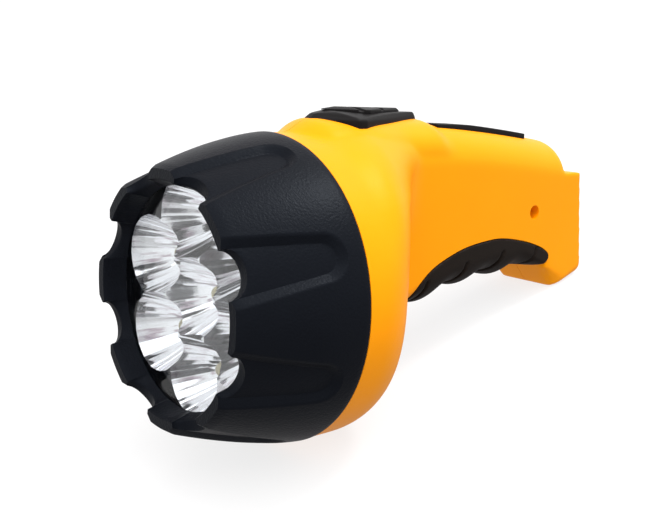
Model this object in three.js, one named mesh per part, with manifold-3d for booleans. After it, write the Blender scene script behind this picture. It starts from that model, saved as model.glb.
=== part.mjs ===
// A hand torch with a fluted black bezel, seven LEDs in a faceted reflector, a two-shell yellow housing,
// a kite-shaped slide switch, a grooved finger grip and a mains plug that slides out of the tail.
// Millimetres. In the torch's own frame the beam runs toward -X, the tail toward +X, the crest toward +Z.
// The whole torch is tilted nose up about Y, so that it stands on the back of its head and on its foot.
import * as THREE from "three";
import { mergeVertices } from "three/addons/utils/BufferGeometryUtils.js";
import Module from "manifold-3d";

const wasm = await Module();
wasm.setup();

// Fits shared by all the pieces.
const SEAT_GAP = 0.3; // between pieces that touch
const RUN_GAP = 0.4; // beside pieces that slide
const OVERRUN = 60; // how far a cutting body reaches past what it cuts
const WALL = 2.2; // moulded housing

// Yellow housing, outside.
const HEAD_R = 50;
const HEAD_STRAIGHT = 8; // straight stretch behind the bezel
const SHOULDER_R = 20; // rounding at the back of the head
const NECK_LENGTH = 22; // hollow sweep from the shoulder to the handle
const HANDLE_HALF = 15.5; // half of the handle's width
const CREST_RISE = 3.2; // top of the handle over the head
const CREST_LEVEL_END = 62; // where the crest starts to fall
const CREST_FALL = 4.6; // its fall by the end of the strip
const CREST_POWER = 1.5;
const ARCH_HEIGHT = -2; // highest place of the handle's underside
const ARCH_CENTRE = 108;
const ARCH_REACH = 48; // from the arch's centre to where it has dropped by ARCH_DROP
const ARCH_DROP = 6.8;
const HANDLE_END = 138;
const END_ROUND = 7; // rounding of the handle's end, seen from the side
const END_PLAN_ROUND = 3.5; // the same, seen from above
const TOP_CAP = 14; // height of the rounded top of the handle's section
const BOTTOM_CAP = 8;
const BOTTOM_CAP_REAR = 2.2; // sharper towards the foot
const BOTTOM_CAP_START = 110;
const crestTop = HEAD_R + CREST_RISE; // over the beam axis

// Collar that the bezel sits on.
const COLLAR_STEP = 5.4; // from the head's outside in to the collar's
const COLLAR_LENGTH = 12.5;
const COLLAR_WALL = 2.6;
const COLLAR_LIP_DEPTH = 5.5; // how far the lip at its front reaches in
const COLLAR_LIP = 2.2;
const collarR = HEAD_R - COLLAR_STEP;
const collarBoreR = collarR - COLLAR_WALL;
const collarLipR = collarBoreR - COLLAR_LIP_DEPTH;

// Raised pad under the switch.
const PAD_PROUD = 1.7; // pad over the handle's crest
const PAD_HALF = 19;
const PAD_REAR_HALF = 15.1;
const PAD_CENTRE = 31;
const PAD_NARROWING = 20; // behind the centre, to where it is as narrow as the handle
const PAD_FRONT = 2.5;
const PAD_REAR = 70.5;
const PAD_RISE = 13.5;
const PAD_FALL = 8;
const PAD_START_DROP = 0.6; // start of the pad below the head's outside
const PAD_END_DROP = 1; // its rear end below the crest
const PAD_CAP = 11;
const PAD_DEPTH = 18; // from the head's outside in to the pad's root
const padTop = crestTop + PAD_PROUD;
const padStart = HEAD_R - PAD_START_DROP;
const padEnd = crestTop - PAD_END_DROP;
const padRoot = HEAD_R - PAD_DEPTH;

// Tail block with the foot.
const TAIL_TOP = 34.6;
const TAIL_TOP_REAR = 146.4;
const TAIL_BOTTOM_REAR = 151.8;
const FOOT_FRONT = 136;
const FOOT_DEPTH = 12.5; // foot's front edge below the beam axis
const FOOT_FACE_TOP = 127.3; // where its slanted front face meets the handle
const FOOT_FACE_DEPTH = 3.2;
const TAIL_ROOT = 129.8; // start of the block, inside the handle
const TAIL_EDGE = 1.8; // rounding of its long edges

// Bezel.
const BEZEL_PROUD = 0.3; // over the head
const BEZEL_TAPER = 9.9; // from its rear radius to its front one
const BEZEL_LENGTH = 39.5;
const BEZEL_POWER = 1.4; // how its side curves in towards the front
const BEZEL_CHAMFER = 1.6;
const BEZEL_RIM = 6; // from its front edge in to the lens opening
const BEZEL_MOUTH = 2; // how far its mouth opens out in front of the lens
const BEZEL_COUNT = 8;
const NOTCH_DEPTH = 5;
const NOTCH_HALF = 6.9;
const FLUTE_DEPTH = 2;
const FLUTE_END = 7.5; // from the bezel's rear edge to the flute's round end
const FLUTE_FRONT_HALF = 9.8;
const FLUTE_REAR_HALF = 5.8;
const BEZEL_RINGS = 48;
const bezelR = HEAD_R + BEZEL_PROUD;
const bezelFrontR = bezelR - BEZEL_TAPER;
const bezelLipR = bezelFrontR - BEZEL_RIM;

// Lens and reflector.
const LENS_LAP = 3.4; // of the lens behind the bezel's lip
const LENS_THICK = 2;
const LENS_BACK = 30; // back face of the lens in front of the head's front plane
const REFLECTOR_LAP = 0.9; // over the lens
const REFLECTOR_WALL = 1.3;
const CUP_DEPTH = 16.3;
const CUP_FACETS = 18;
const CUP_COUNT = 6; // round the middle one
const cupTurn = -0.123; // of the ring of cups about the beam
const cupPitchShare = 0.642; // of the reflector's inner radius
const cupRimShare = 0.358; // of the same
const cupMidShare = 0.745; // of the rim's radius, at half the depth
const POST_INSET = 2.2;
const POST_R = 2.2;
const POST_COUNT = 3;
const lensR = bezelLipR + LENS_LAP;
const reflectorR = lensR + REFLECTOR_LAP;
const cupPitch = (reflectorR - REFLECTOR_WALL) * cupPitchShare;
const cupR = (reflectorR - REFLECTOR_WALL) * cupRimShare;

// LEDs and their board.
const LED_R = 2.5;
const LED_FLANGE_R = 2.8;
const LED_FLANGE = 1;
const LED_LENGTH = 8.4;
const LED_CLEAR = 0.6; // round each LED, at the bottom of its cup
const BOARD_INSET = 0.9; // inside the collar's lip
const BOARD_THICK = 1.6;
const RESISTOR_R = 1.6;
const RESISTOR_LENGTH = 8;
const RESISTOR_PLACE = 12;
const boardR = collarLipR - BOARD_INSET;
const postPlace = boardR - POST_INSET;
const cupFloorR = LED_R + LED_CLEAR;

// Slide switch.
const PLATE_FRONT = 14;
const PLATE_CORNER = 27.5;
const PLATE_REAR = 63;
const PLATE_HALF = 13;
const PLATE_PROUD = 2.4; // crest of the plate over the pad
const PLATE_BEVEL = 3.6;
const PLATE_WALL_DROP = 0.6; // top of its upright walls below the pad's top
const PLATE_CROWN_R = 34;
const PLATE_SINK = 5.9; // of its walls below the pad's top
const KNOB_FRONT = 25.5;
const KNOB_CORNER = 34.5;
const KNOB_REAR = 54;
const KNOB_HALF = 6.4;
const KNOB_PROUD = 1.3; // over the plate
const KNOB_EDGE = 0.8;
const KNOB_GROOVE = 1.9;
const KNOB_GROOVE_DEPTH = 0.7;
const KNOB_TRAVEL = 3; // either way from the middle
const STEM_LENGTH = 6;
const STEM_WIDTH = 5.6;
const LEVER_SIZE = 3;
const LEVER_DROP = 3.9; // top of the lever below the plate's crest
const SWITCH_X = 40;
const SWITCH_DROP = 5.9; // top of the switch below the pad's top
const SWITCH_LENGTH = 22;
const SWITCH_WIDTH = 8;
const SWITCH_DEPTH = 6.4;
const SWITCH_SLOT_DEPTH = 3;
const SWITCH_EAR = 1.4;
const SWITCH_EAR_REACH = 4;
const plateTop = padTop + PLATE_PROUD;
const plateWall = padTop - PLATE_WALL_DROP;
const plateRoot = padTop - PLATE_SINK;
const knobTop = plateTop + KNOB_PROUD;
const leverTop = plateTop - LEVER_DROP;
const switchTop = padTop - SWITCH_DROP;

// Strip let into the crest.
const STRIP_FRONT = 70;
const STRIP_REAR = 120.8;
const STRIP_HALF = 5.6;
const STRIP_PROUD = 1.1;
const STRIP_SEAT = 1.6;
const STRIP_FLOOR = 2;
const stripThinShare = 0.35; // of STRIP_PROUD, at the strip's front end
const stripTaperShare = 0.4; // of the strip's length, over which it grows thicker

// Finger grip.
const GRIP_FRONT = 42;
const GRIP_REAR = 129.2;
const GRIP_CREST = 10.9;
const GRIP_TIP = -20;
const GRIP_SKIN = 2.3;
const GRIP_BACKING = 1.8;
const GRIP_PROUD = 1.2;
const GRIP_PITCH = 20.4;
const GRIP_FIRST_GROOVE = 56.5;
const GRIP_GROOVES = 4;
const GROOVE_WIDTH = 1.5;
const GROOVE_DEPTH = 1.4;
const GROOVE_LEAN = 0.42; // radians off the upright
const GRIP_SWELL_POWER = 0.7;
const gripEdgeShares = [
  // along the grip, and from its tip up to its crest
  [0, 0],
  [0.095, 0.37],
  [0.15, 0.57],
  [0.22, 0.73],
  [0.31, 0.845],
  [0.42, 0.94],
  [0.55, 0.992],
  [0.66, 1],
  [0.8, 0.94],
  [0.92, 0.845],
  [0.985, 0.755],
  [1, 0.685],
  [0.98, 0.6],
  [0.955, 0.56],
];

// Strap hole through both shells.
const STRAP_X = 117.7;
const STRAP_Z = 19.8;
const STRAP_R = 2.75;
const STRAP_WALL = 1.8;

// Shell screws, entered from the right.
const SCREW_R = 1.1;
const SCREW_PILOT_R = 1.45;
const SCREW_HEAD_R = 2.5;
const SCREW_HEAD = 1.8;
const SCREW_LENGTH = 11;
const SCREW_RECESS_R = 3;
const screwFaceShare = 0.6; // of the head's radius and height, where its rim starts
const BOSS_R = 3.6;
const MID_SCREW_X = 91.8;
const MID_SCREW_Z = 24;
const TAIL_SCREW_INSET = 5; // from the tail's rear face to the upper screw
const TAIL_SCREW_DROP = 7; // from the tail's top to the same
const FOOT_SCREW_INSET = 8;
const FOOT_SCREW_RISE = 8.3; // over the foot's front edge

// Battery and its ribs.
const BATTERY_FRONT = 36.5;
const BATTERY_CLEAR = 1.2; // in front of the middle screw's boss
const BATTERY_HALF = 10;
const BATTERY_FLOOR = 5;
const BATTERY_ROOM = 2.6; // between its lid and the switch
const BATTERY_EDGE = 1;
const BATTERY_LID = 4;
const TERMINAL_WIDTH = 4.8;
const TERMINAL_THICK = 0.8;
const TERMINAL_HEIGHT = 5;
const TERMINAL_SPREAD = 6;
const TERMINAL_INSET = 6;
const RIB = 1.6;
const RIB_HEIGHT = 22;
const RIB_INSET = 12.6; // of the rear ribs from the battery's end
const batteryRear = MID_SCREW_X - BOSS_R - BATTERY_CLEAR;
const batteryLid = switchTop - SWITCH_DEPTH - BATTERY_ROOM;
const batteryHeight = batteryLid - BATTERY_FLOOR;

// Charger board and what it carries.
const CHARGER_CLEAR = 1.1; // behind the middle screw's boss
const CHARGER_LENGTH = 15;
const CHARGER_HEIGHT = 25;
const CHARGER_Y = 3;
const chargerX = MID_SCREW_X + BOSS_R + CHARGER_CLEAR + CHARGER_LENGTH / 2;
const chargerZ = batteryLid - CHARGER_HEIGHT / 2;
const chargerFoot = chargerZ - CHARGER_HEIGHT / 2;
const CAP_LENGTH = 12;
const CAP_HEIGHT = 15;
const CAP_WIDTH = 6.6;
const BRIDGE_SIZE = 6;
const BRIDGE_WIDTH = 2.6;
const BOARD_SCREW_SPREAD = 9.6;
const BOARD_POST_R = 2.3;
const BOARD_SCREW_LENGTH = 6;
const BOARD_SCREW_HEAD_R = 1.9;
const BOARD_SCREW_HEAD = 1.2;

// Sliding mains plug.
const PLUG_Z = 10;
const PLUG_X = 125.5; // middle of the carrier, plug in
const PLUG_TRAVEL = 17;
const CARRIER_LENGTH = 8;
const CARRIER_HALF = 10.2;
const CARRIER_HEIGHT = 10;
const BLADE_SPREAD = 12.7;
const BLADE_WIDTH = 6.3;
const BLADE_THICK = 1.5;
const BLADE_TIP = 148.2;
const BLADE_TAIL = 2.5; // of each blade in front of the carrier
const BLADE_HEEL = 1.5; // thickness of the heel turned down at its end
const HEEL_DROP = 3.4; // of that heel below the blade
const CONTACT_THICK = 0.6;
const CONTACT_INSET = 2.35; // of its plate from the tail's inner wall
const CONTACT_HEIGHT = 3.6; // of its plate, under the rail
const CONTACT_TONGUE = 1.8;
const contactY = BLADE_SPREAD / 2 - CONTACT_TONGUE / 2;
const contactWidth = HANDLE_HALF - WALL - CONTACT_INSET - contactY;
const RAIL = 1.3;
const RAIL_CLEAR = 0.6; // between the rails and the blades' heels
const TAB_LENGTH = 5;
const TAB_HEIGHT = 3;
const TAB_CAP_LENGTH = 9;
const TAB_CAP_HEIGHT = 6.4;
const TAB_CAP_THICK = 1.8;
const TAB_RIDGE = 0.7;
const INDICATOR_R = 1.5;
const INDICATOR_LENGTH = 5;
const INDICATOR_Z = 20;

// Leads. Each is a smooth line through places along X, across Y and over the battery's lid.
const LEAD_R = 0.6;
const LEAD_END_GAP = 0.5;
const switchLead = [
  [28.4, -2, 5.2],
  [20.5, -4, -1.5],
  [14, -7, -9.5],
  [4, -9, -16],
  [-10, -10, -20],
];
const plusLead = [
  [77.8, -6, 3.4],
  [70, -5, 4],
  [60, -3.5, 5],
  [51.6, -2, 5.2],
];
const minusLead = [
  [77.8, 6, 3.4],
  [62, 7, 3.4],
  [44, 7, 3.2],
  [30, 7, 2.4],
  [20.5, 6, -2.5],
  [14, 6, -9.5],
  [4, 6, -16],
  [-10, 6, -20],
];
const chargerPlusLead = [
  [95.8, 3, -3],
  [92, 0, 0.5],
  [88, -4, 3],
  [84, -6, 3.4],
];
const chargerMinusLead = [
  [95.8, 3, -7],
  [92, 5.5, -2],
  [88, 6.5, 2.6],
  [84, 6, 3.4],
];
const mainsLead = [
  // from a plug contact to the charger board's lower edge, over the beam axis
  [137.1, 6.2, 0.6],
  [131, 4.4, 1.2],
  [123, 3.2, 2.6],
  [114, 2.6, 4],
  [107.5, 2.8, chargerFoot / 2],
  [105, 3, chargerFoot - LEAD_END_GAP],
];
const MAINS_SPREAD = 3; // between the two mains leads where they meet the board

const yellow = new THREE.MeshStandardMaterial({ color: 0xffa51a, roughness: 0.36, metalness: 0 });
const black = new THREE.MeshStandardMaterial({ color: 0x23272e, roughness: 0.5, metalness: 0 });
const rubber = new THREE.MeshStandardMaterial({ color: 0x2a2420, roughness: 0.8, metalness: 0 });
const clear = new THREE.MeshStandardMaterial({ color: 0xf2f6f8, roughness: 0.05, opacity: 0.3 });
const mirror = new THREE.MeshStandardMaterial({ color: 0xd9dcdf, roughness: 0.12, metalness: 1 });
const board = new THREE.MeshStandardMaterial({ color: 0xe9e7df, roughness: 0.6, metalness: 0 });
const fibre = new THREE.MeshStandardMaterial({ color: 0xb98b4e, roughness: 0.7, metalness: 0 });
const ledClear = new THREE.MeshStandardMaterial({ color: 0xf6eec0, roughness: 0.1, metalness: 0 });
const ledRed = new THREE.MeshStandardMaterial({ color: 0xb3201a, roughness: 0.2, metalness: 0 });
const steel = new THREE.MeshStandardMaterial({ color: 0xb9bcc0, roughness: 0.3, metalness: 1 });
const brass = new THREE.MeshStandardMaterial({ color: 0xc9a85a, roughness: 0.3, metalness: 1 });
const greyCase = new THREE.MeshStandardMaterial({ color: 0x6d7176, roughness: 0.6, metalness: 0 });
const orangeFilm = new THREE.MeshStandardMaterial({ color: 0xa3331d, roughness: 0.4, metalness: 0 });
const leadRed = new THREE.MeshStandardMaterial({ color: 0xb02a22, roughness: 0.6, metalness: 0 });
const leadBlack = new THREE.MeshStandardMaterial({ color: 0x1c1c1e, roughness: 0.6, metalness: 0 });

// Solids from three.js geometry, and geometry from solids.

function solid(geometry) {
  const bare = geometry.clone();
  bare.deleteAttribute("normal");
  bare.deleteAttribute("uv");
  const merged = mergeVertices(bare, SEAT_GAP / 3000);
  const corners = merged.index.array;
  const kept = [];
  for (let i = 0; i < corners.length; i += 3) {
    const [a, b, c] = corners.slice(i, i + 3);
    if (a !== b && b !== c && c !== a) kept.push(a, b, c);
  }
  const vertProperties = merged.attributes.position.array;
  const build = (list) => {
    const triVerts = new Uint32Array(list);
    return new wasm.Manifold(new wasm.Mesh({ numProp: 3, vertProperties, triVerts }));
  };
  const made = build(kept);
  return made.volume() < 0 ? build(kept.reverse()) : made;
}

function surface(body) {
  const mesh = body.getMesh();
  const geometry = new THREE.BufferGeometry();
  geometry.setAttribute("position", new THREE.BufferAttribute(Float32Array.from(mesh.vertProperties), 3));
  geometry.setIndex(new THREE.BufferAttribute(Uint32Array.from(mesh.triVerts), 1));
  geometry.computeVertexNormals();
  return geometry;
}

function joined(bodies) {
  return bodies.reduce((all, body) => all.add(body));
}

function block(x, y, z, lengthX, lengthY, lengthZ) {
  return solid(new THREE.BoxGeometry(lengthX, lengthY, lengthZ).translate(x, y, z));
}

// A round bar along X, from x0 to x1.
function barX(radius, x0, x1, y, z, sides) {
  const bar = new THREE.CylinderGeometry(radius, radius, x1 - x0, sides).rotateZ(-Math.PI / 2);
  return solid(bar.translate((x0 + x1) / 2, y, z));
}

// A round bar along Y, from y0 to y1.
function barY(radius, y0, y1, x, z, sides) {
  return solid(new THREE.CylinderGeometry(radius, radius, y1 - y0, sides).translate(x, (y0 + y1) / 2, z));
}

// A body of revolution about the beam axis, from a list of [place along X, radius].
function revolved(profile, sides) {
  const points = profile.map(([x, radius]) => new THREE.Vector2(radius, x));
  return solid(new THREE.LatheGeometry(points, sides).rotateZ(-Math.PI / 2));
}

// An outline in the side view, given as [x, z], made as thick as width and centred on the mid-plane.
function sideSlab(outline, width, edge = 0) {
  const shape = new THREE.Shape(outline.map(([x, z]) => new THREE.Vector2(x, z)));
  const options = {
    depth: width - 2 * edge,
    bevelEnabled: edge > 0,
    bevelSize: edge,
    bevelThickness: edge,
    bevelOffset: -edge,
    bevelSegments: 2,
  };
  const slab = new THREE.ExtrudeGeometry(shape, options);
  return solid(slab.rotateX(Math.PI / 2).translate(0, width / 2 - edge, 0));
}

// An outline in the plan view, given as [x, y], raised from z0 to z1.
function planSlab(outline, z0, z1) {
  const shape = new THREE.Shape(outline.map(([x, y]) => new THREE.Vector2(x, y)));
  const options = { depth: z1 - z0, bevelEnabled: false };
  return solid(new THREE.ExtrudeGeometry(shape, options).translate(0, 0, z0));
}

// A closed body through rings of points, each ring as long as the next, with a fan over both ends.
function loft(rings) {
  const count = rings[0].length;
  const positions = rings.flat(2);
  const centre = (ring) => [0, 1, 2].map((k) => ring.reduce((sum, point) => sum + point[k], 0) / count);
  const first = rings.length * count;
  positions.push(...centre(rings[0]), ...centre(rings.at(-1)));
  const index = [];
  for (let i = 0; i < rings.length - 1; i++) {
    for (let j = 0; j < count; j++) {
      const a = i * count + j;
      const b = i * count + ((j + 1) % count);
      index.push(a, b, b + count, a, b + count, a + count);
    }
  }
  const last = first - count;
  for (let j = 0; j < count; j++) {
    const k = (j + 1) % count;
    index.push(first, k, j, first + 1, last + j, last + k);
  }
  const geometry = new THREE.BufferGeometry();
  geometry.setAttribute("position", new THREE.Float32BufferAttribute(positions, 3));
  geometry.setIndex(index);
  return solid(geometry);
}

function range(count) {
  return Array.from({ length: count }, (_, i) => i);
}

// Housing form.

function smooth(t) {
  const s = Math.min(Math.max(t, 0), 1);
  return s * s * (3 - 2 * s);
}

// How far a quarter round of the given length has dropped, as a share, at a distance into it.
function roundDrop(distance, length) {
  const t = Math.min(Math.max(distance / length, 0), 1);
  return 1 - Math.sqrt(1 - t * t);
}

function crestHeight(x) {
  const rise = (crestTop - HEAD_R) * smooth((x - HEAD_STRAIGHT) / SHOULDER_R);
  const past = Math.max(x - CREST_LEVEL_END, 0) / (STRIP_REAR - CREST_LEVEL_END);
  return HEAD_R + rise - CREST_FALL * past ** CREST_POWER;
}

function archHeight(x) {
  return ARCH_HEIGHT - ARCH_DROP * ((x - ARCH_CENTRE) / ARCH_REACH) ** 2;
}

const neckStart = HEAD_STRAIGHT + SHOULDER_R;
const neckEnd = neckStart + NECK_LENGTH;
const neckR = HEAD_R - SHOULDER_R;

// The housing's section at x, drawn in by inset on every side: half-width, top, underside and the two caps.
function section(x, inset) {
  const shoulder = SHOULDER_R - inset;
  if (x <= neckStart - inset) {
    const across = Math.sqrt(Math.max(shoulder ** 2 - Math.max(x - HEAD_STRAIGHT, 0) ** 2, 0));
    const radius = neckR + across;
    const top = Math.max(crestHeight(x) - inset, radius);
    return { half: radius, top, bottom: -radius, capTop: top, capBottom: radius };
  }
  const flare = roundDrop(neckEnd - x, NECK_LENGTH + inset);
  const endRound = END_ROUND - inset;
  const planRound = END_PLAN_ROUND - inset;
  const end = HANDLE_END - inset;
  const top = crestHeight(x) - inset - endRound * roundDrop(x - end + endRound, endRound);
  const slim = planRound * roundDrop(x - end + planRound, planRound);
  const neckDrop = neckR + archHeight(neckStart);
  const sharpen = smooth((x - BOTTOM_CAP_START) / (FOOT_FACE_TOP - BOTTOM_CAP_START));
  const cap = BOTTOM_CAP - (BOTTOM_CAP - BOTTOM_CAP_REAR) * sharpen;
  const capInner = Math.max(cap - inset, BOTTOM_CAP_REAR / 2);
  return {
    half: HANDLE_HALF - inset - slim + (neckR - HANDLE_HALF + inset) * flare,
    top,
    bottom: archHeight(x) + inset - (neckDrop + inset) * flare,
    capTop: TOP_CAP - inset + (top - TOP_CAP + inset) * flare,
    capBottom: capInner + (neckR - capInner) * flare,
  };
}

// The outline of a section: a rounded cap above, a rounded cap below, and straight sides between them.
function ovalRing(x, { half, top, bottom, capTop, capBottom }, steps) {
  const ring = [];
  for (let i = 0; i <= steps; i++) {
    const a = (Math.PI * i) / steps;
    ring.push([x, -half * Math.cos(a), top - capTop + capTop * Math.sin(a)]);
  }
  for (let i = 0; i <= steps; i++) {
    const a = Math.PI + (Math.PI * i) / steps;
    ring.push([x, -half * Math.cos(a), bottom + capBottom + capBottom * Math.sin(a)]);
  }
  return ring;
}

// Places along X where the housing's form is sampled: close together round the shoulder, neck and end.
function stations(inset, fine) {
  const quarter = (count) => range(count + 1).map((i) => (Math.PI / 2) * (i / count));
  const shoulder = quarter(fine).map((a) => HEAD_STRAIGHT + (SHOULDER_R - inset) * Math.sin(a));
  const neck = quarter(fine).map((a) => neckEnd - (NECK_LENGTH + inset) * Math.cos(a));
  const straight = range(fine).map((i) => neckEnd + ((HANDLE_END - END_ROUND - neckEnd) * (i + 1)) / fine);
  const end = quarter(fine).map((a) => HANDLE_END - END_ROUND + (END_ROUND - inset) * Math.sin(a));
  return [0, ...shoulder, ...neck.slice(1), ...straight, ...end.slice(1)];
}

// The housing's form, drawn in by inset, which may be a function of the place along X.
function housing(inset, fine, steps, extra = []) {
  const drawn = typeof inset === "function" ? inset : () => inset;
  const places = [...stations(drawn(neckStart), fine), ...extra].sort((a, b) => a - b);
  return loft(places.map((x) => ovalRing(x, section(x, drawn(x)), steps)));
}

// The raised pad that the switch plate sits on.
function pad(inset) {
  const steps = 14;
  const rings = range(steps + 1).map((i) => {
    const x = PAD_FRONT + ((PAD_REAR - PAD_FRONT) * i) / steps;
    const rise = padStart + (padTop - padStart) * smooth((x - PAD_FRONT) / PAD_RISE);
    const top = rise - (padTop - padEnd) * (1 - smooth((PAD_REAR - x) / PAD_FALL)) - inset;
    const widened = PAD_HALF * (1 - roundDrop(PAD_CENTRE - x, PAD_CENTRE));
    const narrowed = (PAD_HALF - PAD_REAR_HALF) * smooth((x - PAD_CENTRE) / PAD_NARROWING);
    const half = widened - narrowed - inset;
    const capTop = Math.min(PAD_CAP, half);
    return ovalRing(x, { half, top, bottom: padRoot, capTop, capBottom: capTop / 4 }, steps);
  });
  return loft(rings);
}

// The foot lies in the plane that touches the head's shoulder, and the torch stands on both.
const shoulderAcross = FOOT_FRONT - HEAD_STRAIGHT;
const shoulderBelow = neckR - FOOT_DEPTH;
const shoulderAway = Math.hypot(shoulderAcross, shoulderBelow);
const tilt = Math.atan2(shoulderBelow, shoulderAcross) + Math.asin(SHOULDER_R / shoulderAway);

const footRear = -FOOT_DEPTH + (TAIL_BOTTOM_REAR - FOOT_FRONT) * Math.tan(tilt);
const lean = (TAIL_BOTTOM_REAR - TAIL_TOP_REAR) / (TAIL_TOP - footRear);
const shellRear = (z) => TAIL_TOP_REAR + lean * (TAIL_TOP - z);

function tailOutline(inset) {
  const faceLean = Math.atan2(FOOT_FRONT - FOOT_FACE_TOP, FOOT_DEPTH - FOOT_FACE_DEPTH);
  const shift = inset / Math.cos(faceLean);
  return [
    [TAIL_ROOT, TAIL_TOP - inset],
    [TAIL_TOP_REAR - inset + lean * inset, TAIL_TOP - inset],
    [TAIL_BOTTOM_REAR - inset - lean * inset, footRear + inset],
    [FOOT_FRONT + shift / 2, inset / Math.cos(tilt) - FOOT_DEPTH],
    [FOOT_FACE_TOP + shift, inset - FOOT_FACE_DEPTH],
    [TAIL_ROOT, inset - FOOT_FACE_DEPTH],
  ];
}

// Grip outline in the side view, grown by margin.
function gripOutline(margin) {
  const length = GRIP_REAR - GRIP_FRONT;
  const height = GRIP_CREST - GRIP_TIP;
  const edge = gripEdgeShares.map(([along, up]) => {
    return new THREE.Vector2(GRIP_FRONT + along * length, GRIP_TIP + up * height);
  });
  const curve = new THREE.SplineCurve(edge).getPoints(gripEdgeShares.length * 2);
  const tops = curve.map((point, i) => {
    const next = curve[Math.min(i + 1, curve.length - 1)];
    const before = curve[Math.max(i - 1, 0)];
    const along = next.clone().sub(before).normalize();
    return [point.x - along.y * margin, point.y + along.x * margin];
  });
  const [rearX] = tops.at(-1);
  return [...tops, [rearX, GRIP_TIP - GRIP_CREST], [GRIP_FRONT - margin, GRIP_TIP - GRIP_CREST]];
}

function stripOutline(margin) {
  const steps = 10;
  const front = STRIP_FRONT - margin;
  const rear = STRIP_REAR + margin;
  const at = (i) => front + ((rear - front) * i) / steps;
  const under = range(steps + 1).map((i) => [at(i), crestHeight(at(i)) - STRIP_SEAT - margin]);
  const over = range(steps + 1).map((i) => {
    const x = at(steps - i);
    const grown = smooth((x - front) / (STRIP_REAR - STRIP_FRONT) / stripTaperShare);
    return [x, crestHeight(x) + STRIP_PROUD * (stripThinShare + (1 - stripThinShare) * grown)];
  });
  return [...under, ...over];
}

function kite(front, corner, rear, half) {
  const blunt = half / 8;
  return [
    [front, blunt],
    [front, -blunt],
    [corner - blunt, -half],
    [corner + blunt, -half],
    [rear, -blunt],
    [rear, blunt],
    [corner + blunt, half],
    [corner - blunt, half],
  ];
}

// A kite-shaped body from z0 up to z2, whose sides lean in by bevel above z1.
function kiteBody(plan, bevel, z0, z1, z2) {
  const [front, , rear, half] = plan;
  const outline = kite(...plan);
  const share = bevel / half;
  const middle = (front + rear) / 2;
  const top = outline.map(([x, y]) => [x + (middle - x) * share, y * (1 - share), z2]);
  const level = (z) => outline.map(([x, y]) => [x, y, z]);
  return loft([level(z0), level(z1), top]);
}

// A bar along X with a round back: all below a crowned surface of the given crest height.
function crownedBar(height, radius) {
  return barX(radius, -OVERRUN, 2 * OVERRUN, 0, height - radius, BEZEL_RINGS);
}

const headScrewX = HEAD_STRAIGHT + SHOULDER_R / 5;
const headScrewZ = HEAD_R - SHOULDER_R / 1.6;
const screwPlaces = [
  [headScrewX, headScrewZ],
  [headScrewX, -headScrewZ],
  [MID_SCREW_X, MID_SCREW_Z],
  [TAIL_TOP_REAR - TAIL_SCREW_INSET, TAIL_TOP - TAIL_SCREW_DROP],
  [TAIL_BOTTOM_REAR - FOOT_SCREW_INSET, FOOT_SCREW_RISE - FOOT_DEPTH],
];

// Yellow housing: one form, hollowed, fitted out and then split on the mid-plane into two shells.

const tailInner = HANDLE_HALF - WALL;
const gripBody = () => sideSlab(gripOutline(0), 4 * HANDLE_HALF);

function housingOuter() {
  const form = housing(0, 7, 13).add(sideSlab(tailOutline(0), 2 * HANDLE_HALF, TAIL_EDGE)).add(pad(0));
  const collar = barX(collarR, -COLLAR_LENGTH, HEAD_STRAIGHT, 0, 0, BEZEL_RINGS);
  return form.add(collar);
}

function housingCavity() {
  const core = housing(GRIP_SKIN + GRIP_BACKING, 5, 8);
  const liner = sideSlab(gripOutline(GRIP_BACKING), 4 * HANDLE_HALF).subtract(core);
  const strip = sideSlab(
    stripOutline(STRIP_FLOOR).map(([x, z]) => [x, z - STRIP_FLOOR / 2]),
    2 * STRIP_HALF + 2 * STRIP_FLOOR,
  );
  const front = block(WALL - OVERRUN, 0, 0, 2 * OVERRUN, 2 * OVERRUN, 2 * OVERRUN);
  const inside = housing(WALL, 5, 8).add(sideSlab(tailOutline(WALL), 2 * tailInner)).subtract(front);
  const throat = barX(collarBoreR, COLLAR_LIP - COLLAR_LENGTH, HEAD_STRAIGHT, 0, 0, BEZEL_RINGS);
  const mouth = barX(collarLipR, -OVERRUN, 0, 0, 0, BEZEL_RINGS);
  return inside.subtract(liner).subtract(strip).add(throat).add(mouth);
}

function plugRails() {
  const outer = tailInner + WALL / 2;
  const inner = (BLADE_SPREAD + BLADE_THICK) / 2 + RAIL_CLEAR;
  const start = PLUG_X - CARRIER_LENGTH / 2;
  const end = shellRear(PLUG_Z) - WALL / 2;
  const rails = [];
  for (const side of [-1, 1]) {
    for (const level of [-1, 1]) {
      const z = PLUG_Z + level * (CARRIER_HEIGHT / 2 + SEAT_GAP + RAIL / 2);
      const y = (side * (outer + inner)) / 2;
      rails.push(block((start + end) / 2, y, z, end - start, outer - inner, RAIL));
    }
  }
  return rails;
}

function batteryRibs() {
  const inner = BATTERY_HALF + SEAT_GAP;
  const outer = HANDLE_HALF - WALL / 2;
  const z = BATTERY_FLOOR + batteryHeight / 2 + WALL;
  const places = [neckEnd, batteryRear - RIB_INSET];
  return places.flatMap((x) =>
    [-1, 1].map((side) => block(x, (side * (inner + outer)) / 2, z, RIB, outer - inner, RIB_HEIGHT)),
  );
}

function chargerPosts() {
  const y0 = CHARGER_Y + BOARD_THICK / 2 + SEAT_GAP;
  return [-1, 1].map((side) => {
    const z = chargerZ + side * BOARD_SCREW_SPREAD;
    const pilot = barY(SCREW_PILOT_R, y0 - WALL, y0 + BOARD_SCREW_LENGTH, chargerX, z, 10);
    return barY(BOARD_POST_R, y0, HANDLE_HALF - WALL / 2, chargerX, z, 12).subtract(pilot);
  });
}

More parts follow.
